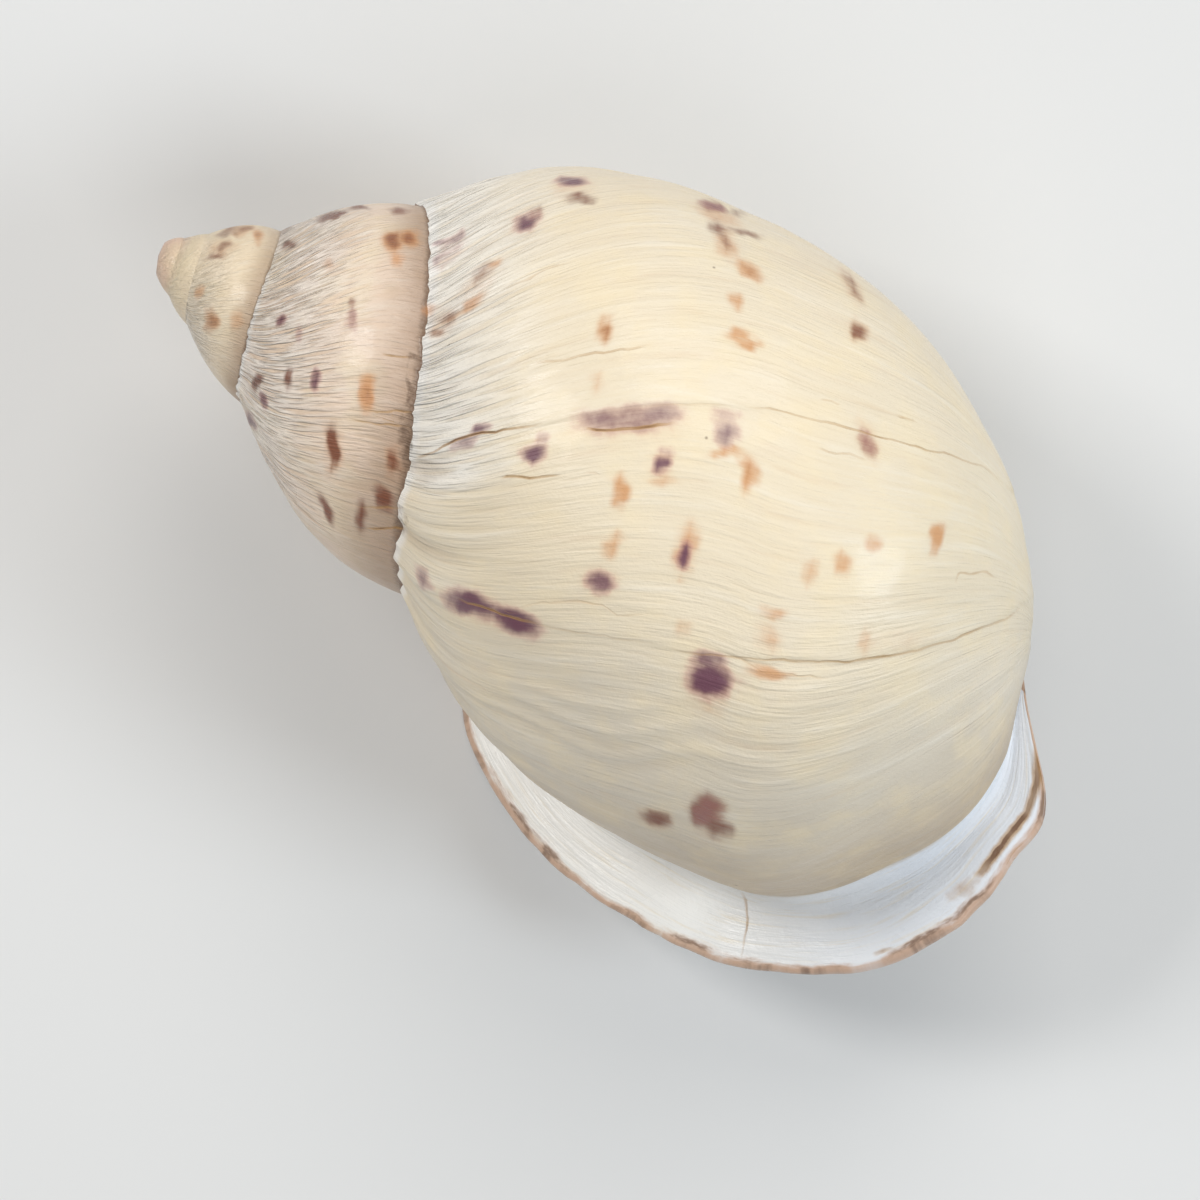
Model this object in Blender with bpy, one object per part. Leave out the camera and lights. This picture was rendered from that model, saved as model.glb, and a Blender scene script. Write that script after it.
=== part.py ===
"""A right-handed land snail's shell, about 75 mm long, lying on its mouth.

The shell is worked out round its coiling axis, in millimetres, with the axis along X and the
apex at zero. A turn is counted in half turns round the axis: 0 is the left side of the last
whorl as it lies, 0.5 its back and 1 its right side, where the lip stands. A row is counted
down a whorl: 0 is its suture, 1 the next suture and 2 its base beside the axis.
"""

import math

import bmesh
import bpy
import numpy as np
from mathutils import Matrix, Vector

MM = 0.001

# Each list has one value at each half turn, from the first of these turns on, in millimetres.
FIRST_STATION = -9
SUTURE_HEIGHT = (0.02, 0.12, 0.45, 0.95, 1.6, 2.4, 3.75, 7.1, 9.8, 15.6, 26.6, 40.0, 56.0)
WIDEST_HEIGHT = (0.7, 1.2, 2.1, 3.2, 4.7, 7.0, 11.3, 17.6, 24.6, 38.2, 54.0, 66.0)
WIDEST_RADIUS = (1.3, 1.9, 2.5, 3.1, 3.95, 5.2, 7.6, 11.1, 15.5, 20.1, 25.0, 28.0)
BASE_HEIGHT = (1.6, 2.4, 4.0, 6.5, 10.0, 16.5, 26.0, 38.0, 53.0, 67.8, 69.5, 70.0)

# The last suture sags below the even spiral on the shell's back.
SUTURE_SAG = 0.75
SAG_TURN = 0.6
SAG_SPREAD = 0.3

# How a whorl bulges from its suture to its widest place, early and late in the growth.
SHOULDER_CURVE = 2.05
SHOULDER_CURVE_GAIN = 0.95
# How a whorl closes from its widest place to its base, and how much blunter it ends.
HIP_CURVE = 2.2
HIP_CURVE_GAIN = 0.4
HIP_POWER = 0.77
HIP_POWER_LOSS = 0.25
BASE_CROWDING = 1.6
AXIS_RADIUS = 1.1
# A whorl's face is worked out from at most this many whorls before it, and from there on from
# this share of its widest radius.
WHORLS_BEFORE = 4
FIRST_WHORL_SHARE = 0.5
# The step, in rows, over which the slope of a face is taken.
SLOPE_STEP = 0.001

# A growth line leads at the suture and trails at the base, in half turns.
SUTURE_LEAD = 40 / 180
LEAD_CURVE = 1.9
BASE_LAG = 42 / 180
LAG_CURVE = 1.5

WALL = 0.8
THINNEST_SHARE = 0.55
FULL_WALL_TURN = 0
THINNEST_TURN = -3

# The lip turns outwards through this angle on this radius, and then runs on straight.
LIP_TURN = 192 / 180
LIP_BEND = 2.2
LIP_CURL = math.radians(100)
LIP_WIDTH = 3.6
BEND_SHARE = 0.6
RIM_THICKNESS = 1.2
RIM_ROUNDING = 0.35
# The lip widens from nothing over the first of these rows, and narrows over the last of them.
LIP_START_ROWS = 0.36
LIP_START_POWER = 1.3
LIP_CLOSE_ROWS = 0.26
LIP_CLOSED_SHARE = 0.12
LIP_SPREAD = 1.1
LIP_SIDE_GAIN, LIP_SIDE_ROW, LIP_SIDE_SPAN = 0.2, 0.8, 0.8
LIP_BASE_GAIN, LIP_BASE_ROW, LIP_BASE_SPAN = 0.08, 1.5, 0.35

# The rod round the axis that the whorls wind on: half widths at its two ends.
PILLAR_TOP = 9.0
PILLAR_FOOT = 68.6
PILLAR_TOP_WIDE, PILLAR_TOP_NARROW = 1.7, 1.4
PILLAR_FOOT_WIDE, PILLAR_FOOT_NARROW = 3.9, 2.4
PILLAR_TURNS = 1.6
PILLAR_SIDES = 14
PILLAR_RINGS = 26
PILLAR_ROUND_END = 0.07
PILLAR_END_AREA = 0.02

# The shell rolls about its axis until its belly and its lip both reach the ground. They are
# worn flat there, at this distance under the axis.
REST_ROLL = math.radians(0.5)
REST_DEPTH = 17.6
GRINDER_SIZE = 120.0

APEX_TURN = -8.6
APEX_HEIGHT = -0.35
HOLLOW_TURNS = 1.35
STEPS_PER_TURN = 36
SPIRE_ROWS = 8
BASE_ROWS = 14
ROW_CROWDING = 1.25
GLUE_ROW = 0.055
LIP_COLUMNS = 4

SHELL_COLOUR = (0.72, 0.62, 0.45, 1.0)
SHELL_ROUGHNESS = 0.35
SHARP_ANGLE = math.radians(60)


def ease(value):
    value = np.clip(value, 0, 1)
    return value * value * (3 - 2 * value)


def along(stations, turn):
    """A smooth curve through values that stand at each half turn."""
    values = np.asarray(stations, float)
    ends = np.concatenate([[2 * values[0] - values[1]], values, [2 * values[-1] - values[-2]]])
    place = np.clip(np.asarray(turn, float) - FIRST_STATION, 0, len(values) - 1 - 1e-9)
    index = place.astype(int)
    part = place - index
    before, start, end, after = (ends[index + k] for k in range(4))
    slope = end - before
    bend = 2 * before - 5 * start + 4 * end - after
    twist = 3 * start - before - 3 * end + after
    return 0.5 * (2 * start + slope * part + bend * part**2 + twist * part**3)


def suture_height(turn):
    away = (np.asarray(turn, float) - SAG_TURN) / SAG_SPREAD
    return along(SUTURE_HEIGHT, turn) + SUTURE_SAG * np.exp(-(away**2))


def whorl_radius(turn, height, before=WHORLS_BEFORE):
    """The radius of a whorl's outer face, which starts from the face of the whorl before it."""
    turn, height = np.broadcast_arrays(np.asarray(turn, float), np.asarray(height, float))
    top = suture_height(turn)
    widest = along(WIDEST_HEIGHT, turn)
    base = along(BASE_HEIGHT, turn)
    most = along(WIDEST_RADIUS, turn)
    least = whorl_radius(turn - 2, top, before - 1) if before else FIRST_WHORL_SHARE * most
    above = np.clip((height - top) / (widest - top), 0, 1)
    below = np.clip((height - widest) / (base - widest), 0, 1)
    late = np.clip(turn, 0, 1)
    shoulder_curve = SHOULDER_CURVE + SHOULDER_CURVE_GAIN * np.clip(turn + 1, 0, 1)
    hip_curve = HIP_CURVE + HIP_CURVE_GAIN * late
    hip_power = HIP_POWER - HIP_POWER_LOSS * late
    shoulder = least + (most - least) * (1 - (1 - above) ** shoulder_curve)
    hip = AXIS_RADIUS + (most - AXIS_RADIUS) * (1 - below**hip_curve) ** hip_power
    return np.where(height < widest, shoulder, hip)


def growth_sweep(row):
    """How far a growth line leads or trails its place on row 1, in half turns."""
    lead = SUTURE_LEAD * (1 - np.clip(row, 0, 1)) ** LEAD_CURVE
    lag = BASE_LAG * np.clip(np.asarray(row) - 1, 0, 1) ** LAG_CURVE
    return lead - lag


def section(turn, row):
    """Height and radius of the outer face where a turn and a row cross."""
    turn, row = np.broadcast_arrays(np.asarray(turn, float), np.asarray(row, float))
    top = suture_height(turn)
    middle = suture_height(turn + 2)
    base = along(BASE_HEIGHT, turn)
    upper = top + (middle - top) * np.clip(row, 0, 1)
    lower = base - (base - middle) * (1 - np.clip(row - 1, 0, 1)) ** BASE_CROWDING
    height = np.where(row < 1, upper, lower)
    return height, whorl_radius(turn, height)


def section_normal(turn, row):
    """The way out of the wall: its share along the axis and its share away from it."""
    height_a, radius_a = section(turn, np.clip(row - SLOPE_STEP, 0, 2))
    height_b, radius_b = section(turn, np.clip(row + SLOPE_STEP, 0, 2))
    length = np.hypot(height_b - height_a, radius_b - radius_a)
    return (radius_a - radius_b) / length, (height_b - height_a) / length


def wall_point(growth, row, out=0.0, ahead=0.0):
    """A place on the wall, moved across the wall by out and along the growth by ahead."""
    turn = growth + growth_sweep(row)
    height, radius = section(turn, row)
    across, away = section_normal(turn, row)
    angle = np.asarray(turn) * math.pi
    reach = radius + away * out
    side = reach * np.cos(angle) - ahead * np.sin(angle)
    back = reach * np.sin(angle) + ahead * np.cos(angle)
    return np.stack(np.broadcast_arrays(height + across * out, side, back), -1)


def wall_thickness(growth):
    """The inner whorls have a thinner wall."""
    share = ease((growth - THINNEST_TURN) / (FULL_WALL_TURN - THINNEST_TURN))
    return WALL * (THINNEST_SHARE + (1 - THINNEST_SHARE) * share)


def lip_spread(row):
    """The lip's width on each row: none at the suture, most near the base, little at the axis."""
    start = np.sin(np.clip(row / LIP_START_ROWS, 0, 1) * math.pi / 2) ** LIP_START_POWER
    side = LIP_SIDE_GAIN * ease((row - LIP_SIDE_ROW) / LIP_SIDE_SPAN)
    base = LIP_BASE_GAIN * ease((row - LIP_BASE_ROW) / LIP_BASE_SPAN)
    close = LIP_CLOSED_SHARE + (1 - LIP_CLOSED_SHARE) * ease((2 - row) / LIP_CLOSE_ROWS)
    return start * (LIP_SPREAD + side + base) * close


def lip_points(share, row):
    """The lip's outer and inner face, from where it starts to turn, 0, to its edge, 1."""
    curl = LIP_CURL * min(share / BEND_SHARE, 1)
    straight = LIP_WIDTH * max((share - BEND_SHARE) / (1 - BEND_SHARE), 0)
    spread = lip_spread(row)
    out = (LIP_BEND * (1 - math.cos(curl)) + straight * math.sin(curl)) * spread
    ahead = (LIP_BEND * math.sin(curl) + straight * math.cos(curl)) * spread
    thick = WALL + (RIM_THICKNESS - WALL) * share
    lean = curl * np.minimum(spread, 1)
    outer = wall_point(LIP_TURN, row, out, ahead)
    inner = wall_point(LIP_TURN, row, out - thick * np.cos(lean), ahead + thick * np.sin(lean))
    return outer, inner


def wall_rows():
    """The rows of the mesh. The next whorl's inner face meets the row just past its suture."""
    upper = np.linspace(0, 1, SPIRE_ROWS + 1) ** ROW_CROWDING
    lower = 1 + np.linspace(GLUE_ROW, 1, BASE_ROWS)
    return np.concatenate([upper, lower])


class CoiledWall:
    """The coiled wall as one closed mesh, in columns along the growth and rows down the whorl.

    A vertex is named by its face, its column and its row. Each whorl starts on the whorl
    before it, and shares that whorl's vertices there. The spire above the hollow is solid.
    """

    def __init__(self):
        step = 2 / STEPS_PER_TURN
        self.mesh = bmesh.new()
        self.points = {}
        self.rows = wall_rows()
        self.base_row = len(self.rows) - 1
        self.glue_row = SPIRE_ROWS + 1
        self.turn_back = STEPS_PER_TURN - round(SUTURE_LEAD / step)
        self.lip = round((LIP_TURN - APEX_TURN) / step)
        self.edge = self.lip + LIP_COLUMNS
        self.hollow = self.lip - round(HOLLOW_TURNS * STEPS_PER_TURN)
        self.deep = self.hollow - self.turn_back
        self.columns = LIP_TURN + step * (np.arange(self.lip + 1) - self.lip)

    def add(self, key, point):
        self.points[key] = self.mesh.verts.new(point)

    def share(self, key, other):
        self.points[key] = self.points[other]

    def face(self, *keys):
        corners = []
        for key in keys:
            if self.points[key] not in corners:
                corners.append(self.points[key])
        if len(corners) > 2:
            self.mesh.faces.new(corners)

    def add_columns(self):
        for column, growth in enumerate(self.columns):
            outer = wall_point(growth, self.rows)
            inner = wall_point(growth, self.rows, -wall_thickness(growth))
            before = column - self.turn_back
            lowest = self.base_row if column >= self.deep else SPIRE_ROWS
            if before >= 0:
                self.share(("out", column, 0), ("out", before, SPIRE_ROWS))
            else:
                self.add(("out", column, 0), outer[0])
            for row in range(1, lowest + 1):
                self.add(("out", column, row), outer[row])
            if column >= self.hollow:
                self.share(("in", column, 0), ("out", before, self.glue_row))
                for row in range(1, self.base_row + 1):
                    self.add(("in", column, row), inner[row])

    def add_lip(self):
        for number in range(1, LIP_COLUMNS + 1):
            outer, inner = lip_points(number / LIP_COLUMNS, self.rows)
            column = self.lip + number
            for side, points in (("out", outer), ("in", inner)):
                self.share((side, column, 0), (side, self.lip, 0))
                for row in range(1, self.base_row + 1):
                    self.add((side, column, row), points[row])

    def add_rim(self):
        """The lip's rounded edge, between its two faces."""
        for row in range(1, self.base_row + 1):
            outer, inner = (self.points[side, self.edge, row].co for side in ("out", "in"))
            ahead = outer + inner
            for side in ("out", "in"):
                ahead = ahead - self.points[side, self.edge - 1, row].co
            middle = (outer + inner) / 2
            bulge = RIM_ROUNDING * (outer - inner).length
            self.add(("rim", self.edge, row), middle + ahead.normalized() * bulge)

    def face_sheet(self, side, column, row):
        corners = [(side, column, row), (side, column + 1, row)]
        corners += [(side, column + 1, row + 1), (side, column, row + 1)]
        self.face(*corners)

    def face_whorls(self):
        for column in range(self.edge):
            for row in range(SPIRE_ROWS):
                self.face_sheet("out", column, row)
            if column >= self.lip - self.turn_back:
                self.face_sheet("out", column, SPIRE_ROWS)
            if column >= self.deep:
                for row in range(self.glue_row, self.base_row):
                    self.face_sheet("out", column, row)
            if column >= self.hollow:
                for row in range(self.base_row):
                    self.face_sheet("in", column, row)
                ends = [(side, column, self.base_row) for side in ("in", "out")]
                ends += [(side, column + 1, self.base_row) for side in ("out", "in")]
                self.face(*ends)

    def face_rim(self):
        for side in ("out", "in"):
            self.share(("rim", self.edge, 0), (side, self.edge, 0))
            for row in range(self.base_row):
                corners = [("rim", self.edge, row), ("rim", self.edge, row + 1)]
                corners += [(side, self.edge, row + 1), (side, self.edge, row)]
                self.face(*corners)
        self.face(("out", self.edge, 0), ("in", self.edge, 0), ("rim", self.edge, 1))
        self.face(*((side, self.edge, self.base_row) for side in ("out", "rim", "in")))

    def close_apex(self):
        self.add("apex", (APEX_HEIGHT, 0, 0))
        loop = [("out", column, 0) for column in range(self.turn_back + 1)]
        loop += [("out", 0, row) for row in range(SPIRE_ROWS - 1, -1, -1)]
        for first, second in zip(loop, loop[1:]):
            self.face("apex", first, second)

    def close_hollow(self):
        """The hollow's inner end, from the wall's inner face to the whorl below, and to the axis."""
        share = (self.base_row - self.glue_row) / self.base_row
        for row in range(self.base_row):
            near = [("in", self.hollow, row), ("in", self.hollow, row + 1)]
            low = self.glue_row + round((row + 1) * share)
            high = self.glue_row + round(row * share)
            self.face(*near, ("out", self.deep, low), ("out", self.deep, high))
        loop = [("in", self.hollow, self.base_row)]
        loop += [("out", column, self.base_row) for column in range(self.hollow, self.deep - 1, -1)]
        heights = [self.points[key].co.x for key in loop]
        self.add("inner end", (sum(heights) / len(heights), 0, 0))
        for first, second in zip(loop, loop[1:] + loop[:1]):
            self.face("inner end", first, second)

    def build(self):
        self.add_columns()
        self.add_lip()
        self.add_rim()
        self.face_whorls()
        self.face_rim()
        self.close_apex()
        self.close_hollow()
        bmesh.ops.recalc_face_normals(self.mesh, faces=self.mesh.faces)
        return self.mesh


def pillar_ring(share):
    """One ring of the pillar: an ellipse that turns as it goes down, and closes at the foot."""
    height = PILLAR_TOP + (PILLAR_FOOT - PILLAR_TOP) * share
    wide = PILLAR_TOP_WIDE + (PILLAR_FOOT_WIDE - PILLAR_TOP_WIDE) * share**2
    narrow = PILLAR_TOP_NARROW + (PILLAR_FOOT_NARROW - PILLAR_TOP_NARROW) * share**2
    past = max((share - 1) / PILLAR_ROUND_END + 1, 0)
    close = math.sqrt(max(1 - past**2, PILLAR_END_AREA))
    twist = Matrix.Rotation(2 * math.pi * PILLAR_TURNS * share, 3, "X")
    ring = []
    for side in range(PILLAR_SIDES):
        angle = 2 * math.pi * side / PILLAR_SIDES
        flat = Vector((0, wide * math.cos(angle), narrow * math.sin(angle)))
        ring.append(twist @ (flat * close) + Vector((height, 0, 0)))
    return ring


def build_pillar():
    mesh = bmesh.new()
    rings = []
    for number in range(PILLAR_RINGS + 1):
        rings.append([mesh.verts.new(point) for point in pillar_ring(number / PILLAR_RINGS)])
    for near, far in zip(rings, rings[1:]):
        for side in range(PILLAR_SIDES):
            onward = (side + 1) % PILLAR_SIDES
            mesh.faces.new((near[side], near[onward], far[onward], far[side]))
    mesh.faces.new(rings[0])
    mesh.faces.new(rings[-1])
    bmesh.ops.recalc_face_normals(mesh, faces=mesh.faces)
    return mesh


def shell_material():
    material = bpy.data.materials.new("shell")
    material.use_nodes = True
    surface = material.node_tree.nodes["Principled BSDF"]
    surface.inputs["Base Color"].default_value = SHELL_COLOUR
    surface.inputs["Roughness"].default_value = SHELL_ROUGHNESS
    surface.inputs["Metallic"].default_value = 0.0
    return material


def as_object(name, mesh, collection):
    """An object from a mesh in millimetres round the axis, rolled to how the shell lies."""
    data = bpy.data.meshes.new(name)
    mesh.to_mesh(data)
    mesh.free()
    data.transform(Matrix.Scale(MM, 4) @ Matrix.Rotation(REST_ROLL, 4, "X"))
    data.shade_smooth()
    data.set_sharp_from_angle(angle=SHARP_ANGLE)
    obj = bpy.data.objects.new(name, data)
    collection.objects.link(obj)
    return obj


def as_helper(obj):
    obj.hide_render = True
    obj.display_type = "WIRE"


def add_boolean(obj, other, operation):
    cut = obj.modifiers.new(other.name, "BOOLEAN")
    cut.operation = operation
    cut.solver = "EXACT"
    cut.object = other


def build_grinder(collection):
    """A block under the axis that leaves the small flat places that the shell rests on."""
    bpy.ops.mesh.primitive_cube_add(size=GRINDER_SIZE * MM)
    grinder = bpy.context.active_object
    grinder.name = "grinder"
    grinder.location = (0, 0, -(REST_DEPTH + GRINDER_SIZE / 2) * MM)
    for owner in list(grinder.users_collection):
        owner.objects.unlink(grinder)
    collection.objects.link(grinder)
    return grinder


def lay_down(shell, helpers):
    """Puts the middle of the shell's box over the origin, and its flat places on the ground."""
    bpy.context.view_layer.update()
    finished = shell.evaluated_get(bpy.context.evaluated_depsgraph_get())
    corners = [Vector(corner) for corner in finished.bound_box]
    middle = [sum(corner[axis] for corner in corners) / len(corners) for axis in range(2)]
    move = Vector((-middle[0], -middle[1], REST_DEPTH * MM))
    for obj in (shell, *helpers):
        obj.location += move


def new_collection(name):
    collection = bpy.data.collections.new(name)
    bpy.context.scene.collection.children.link(collection)
    return collection


def main():
    for obj in list(bpy.data.objects):
        bpy.data.objects.remove(obj)
    shell_group = new_collection("plekocheilus_shell")
    cutters = new_collection("cutters")
    cutters.hide_render = True

    shell = as_object("shell", CoiledWall().build(), shell_group)
    shell.data.materials.append(shell_material())
    pillar = as_object("pillar", build_pillar(), cutters)
    grinder = build_grinder(cutters)
    for helper in (pillar, grinder):
        as_helper(helper)
    add_boolean(shell, pillar, "UNION")
    add_boolean(shell, grinder, "DIFFERENCE")
    lay_down(shell, [pillar, grinder])


if __name__ == "__main__":
    main()
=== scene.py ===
"""The looks of a right-handed land snail's shell, about 75 mm long, lying on its mouth.

The shell is worked out again round its coiling axis, in millimetres, from the formulas of the
solid, in a fine net with relief. A turn is counted in half turns round the axis: 0 is the left
side of the last whorl as it lies, 0.5 its back and 1 its right side, where the lip stands. A
row is counted down a whorl: 0 is its suture, 1 the next suture and 2 its base beside the axis.
"""

import math

import bmesh
import bpy
import numpy as np
from mathutils import Matrix, Vector


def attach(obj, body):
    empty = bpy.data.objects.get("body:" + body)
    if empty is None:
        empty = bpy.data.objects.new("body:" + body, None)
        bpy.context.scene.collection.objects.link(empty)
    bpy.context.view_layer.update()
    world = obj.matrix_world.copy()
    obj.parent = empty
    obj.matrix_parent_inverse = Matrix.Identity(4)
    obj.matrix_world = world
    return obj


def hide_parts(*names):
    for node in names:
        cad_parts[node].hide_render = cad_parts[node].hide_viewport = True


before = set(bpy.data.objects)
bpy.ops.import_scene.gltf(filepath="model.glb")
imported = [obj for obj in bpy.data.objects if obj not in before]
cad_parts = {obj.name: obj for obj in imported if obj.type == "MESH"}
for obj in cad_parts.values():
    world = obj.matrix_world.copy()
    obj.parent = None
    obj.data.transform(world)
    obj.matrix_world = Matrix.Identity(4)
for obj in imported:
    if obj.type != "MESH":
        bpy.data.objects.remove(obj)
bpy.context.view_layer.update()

MM = 0.001

# The coil, as in the solid. Each list has one value at each half turn, in millimetres.
FIRST_STATION = -9
SUTURE_HEIGHT = (0.02, 0.12, 0.45, 0.95, 1.6, 2.4, 3.75, 7.1, 9.8, 15.6, 26.6, 40.0, 56.0)
WIDEST_HEIGHT = (0.7, 1.2, 2.1, 3.2, 4.7, 7.0, 11.3, 17.6, 24.6, 38.2, 54.0, 66.0)
WIDEST_RADIUS = (1.3, 1.9, 2.5, 3.1, 3.95, 5.2, 7.6, 11.1, 15.5, 20.1, 25.0, 28.0)
BASE_HEIGHT = (1.6, 2.4, 4.0, 6.5, 10.0, 16.5, 26.0, 38.0, 53.0, 67.8, 69.5, 70.0)
SUTURE_SAG = 0.75
SAG_TURN = 0.6
SAG_SPREAD = 0.3
SHOULDER_CURVE = 2.05
SHOULDER_CURVE_GAIN = 0.95
HIP_CURVE = 2.2
HIP_CURVE_GAIN = 0.4
HIP_POWER = 0.77
HIP_POWER_LOSS = 0.25
BASE_CROWDING = 1.6
AXIS_RADIUS = 1.1
WHORLS_BEFORE = 4
FIRST_WHORL_SHARE = 0.5
SLOPE_STEP = 0.001
SUTURE_LEAD = 40 / 180
LEAD_CURVE = 1.9
BASE_LAG = 42 / 180
LAG_CURVE = 1.5

WALL = 0.8
THINNEST_SHARE = 0.55
FULL_WALL_TURN = 0
THINNEST_TURN = -3

LIP_TURN = 192 / 180
LIP_BEND = 2.2
LIP_CURL = math.radians(100)
LIP_WIDTH = 3.6
BEND_SHARE = 0.6
RIM_THICKNESS = 1.2
RIM_ROUNDING = 0.35
LIP_START_ROWS = 0.36
LIP_START_POWER = 1.3
LIP_CLOSE_ROWS = 0.22
LIP_CLOSED_SHARE = 0.05
LIP_SPREAD = 1.1
LIP_SIDE_GAIN, LIP_SIDE_ROW, LIP_SIDE_SPAN = 0.2, 0.8, 0.8
LIP_BASE_LOSS, LIP_BASE_ROW, LIP_BASE_SPAN = 0.11, 1.6, 0.14
LIP_DIP, LIP_DIP_ROW, LIP_DIP_SPAN = 0.12, 1.23, 0.13

PILLAR_TOP = 9.0
PILLAR_FOOT = 68.6
PILLAR_TOP_WIDE, PILLAR_TOP_NARROW = 1.7, 1.4
PILLAR_FOOT_WIDE, PILLAR_FOOT_NARROW = 3.9, 2.4
PILLAR_TURNS = 1.6
PILLAR_ROUND_END = 0.07
PILLAR_END_AREA = 0.02

REST_ROLL = math.radians(0.5)
APEX_TURN = -8.6
APEX_HEIGHT = -0.35
HOLLOW_TURNS = 1.35
GLUE_ROW = 0.055
# Growths where the hollow and its floor end, where the mouth crosses the whorl before it, and
# where that crossing starts at the apex.
HOLLOW_END = LIP_TURN - 2 * HOLLOW_TURNS
FLOOR_END = HOLLOW_END - 2 + SUTURE_LEAD
MOUTH_START = LIP_TURN - 2 + SUTURE_LEAD
SEAM_START = APEX_TURN + 2 - SUTURE_LEAD

# The fine net: its columns have these steps, in degrees, up to these growths.
SPIRE_ROWS = 50
GLUE_PLACE = SPIRE_ROWS + 1
BASE_ROWS = 66
ROW_CROWDING = 1.25
TIGHT_ENDS = (-4.2, -2.1, -0.85, -0.12)
TIGHT_STEPS = (8.0, 3.0, 1.25, 2.5)
BACK_STEP = 0.5
INNER_STEP = 4.0
FLOOR_THINNING = 4
ROW_THINNING = 2
LIP_COLUMNS = 14
RIM_COLUMNS = 5
PILLAR_SIDES = 40
PILLAR_RINGS = 90

# The camera, seen from the coiling axis, and the picture that it makes.
PICTURE_SIZE = 1200
SENSOR = 36.0
LENS = 150.0
CAMERA_PLACE = (39.59, -10.05, 367.6)
CAMERA_TILT = math.radians(-23.8)
PIXEL = 0.0735
# The markings in the picture fade out where the back turns away from it, but not on the lip.
MOST_TURNED_AWAY = -0.12
FADING_SPAN = 0.16
LIP_SEEN_FROM = 0.8
# Past this growth the base is open to view, with no whorl over it.
BASE_SEEN_FROM = -0.95
# Lengths below these count as none.
TINY = 1e-9
SAME_DISTANCE = 1e-6

# The apex is rounder than the even coil, up to this place along the whorls.
APEX_ROUNDING = 0.5
APEX_ROUND_END = -5.2
# The last whorl swells towards its base, and flares a little before the lip starts.
SWELL, SWELL_ROW, SWELL_SPAN = 2.2, 1.74, 0.21
FLARE = 1.0
FLARE_START = 0.84

# Markings on the back, in the picture's pixels: x, y, half length, half width, the lean of the
# length from level, and strength.
VIOLET_MARKS = (
    (573, 183, 16, 5, 0, 0.8),
    (527, 222, 14, 8, 25, 0.8),
    (441, 241, 12, 4, 20, 0.5),
    (456, 237, 11, 4, 38, 0.5),
    (438, 259, 8, 4, 40, 0.45),
    (712, 206, 14, 5, -10, 0.45),
    (606, 421, 30, 14, 2, 0.58),
    (632, 418, 34, 15, 2, 0.52),
    (658, 415, 26, 15, 4, 0.6),
    (450, 252, 24, 11, 38, 0.28),
    (480, 430, 9, 5, 30, 0.7),
    (467, 443, 16, 6, 25, 0.5),
    (532, 454, 12, 9, 0, 0.95),
    (541, 440, 9, 9, 60, 0.35),
    (660, 466, 9, 8, 90, 0.9),
    (664, 452, 9, 8, 90, 0.35),
    (600, 583, 13, 12, 60, 0.75),
    (685, 554, 14, 7, 75, 0.9),
    (726, 417, 14, 10, 0, 0.35),
    (728, 434, 15, 11, 90, 0.65),
    (868, 441, 16, 8, -70, 0.3),
    (470, 604, 24, 11, -20, 0.95),
    (515, 622, 26, 12, -25, 1.0),
    (492, 612, 44, 12, -23, 0.6),
    (424, 579, 13, 6, -60, 0.6),
    (709, 680, 20, 19, 0, 1.0),
    (711, 661, 18, 9, 0, 0.7),
    (705, 812, 17, 12, 80, 0.35),
    (354, 318, 16, 6, 88, 0.3),
    (282, 320, 8, 5, 60, 0.6),
    (300, 335, 10, 6, 80, 0.35),
    (264, 401, 9, 4, 88, 0.6),
    (250, 420, 10, 4, -70, 0.7),
    (317, 381, 12, 5, 90, 0.65),
)
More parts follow.
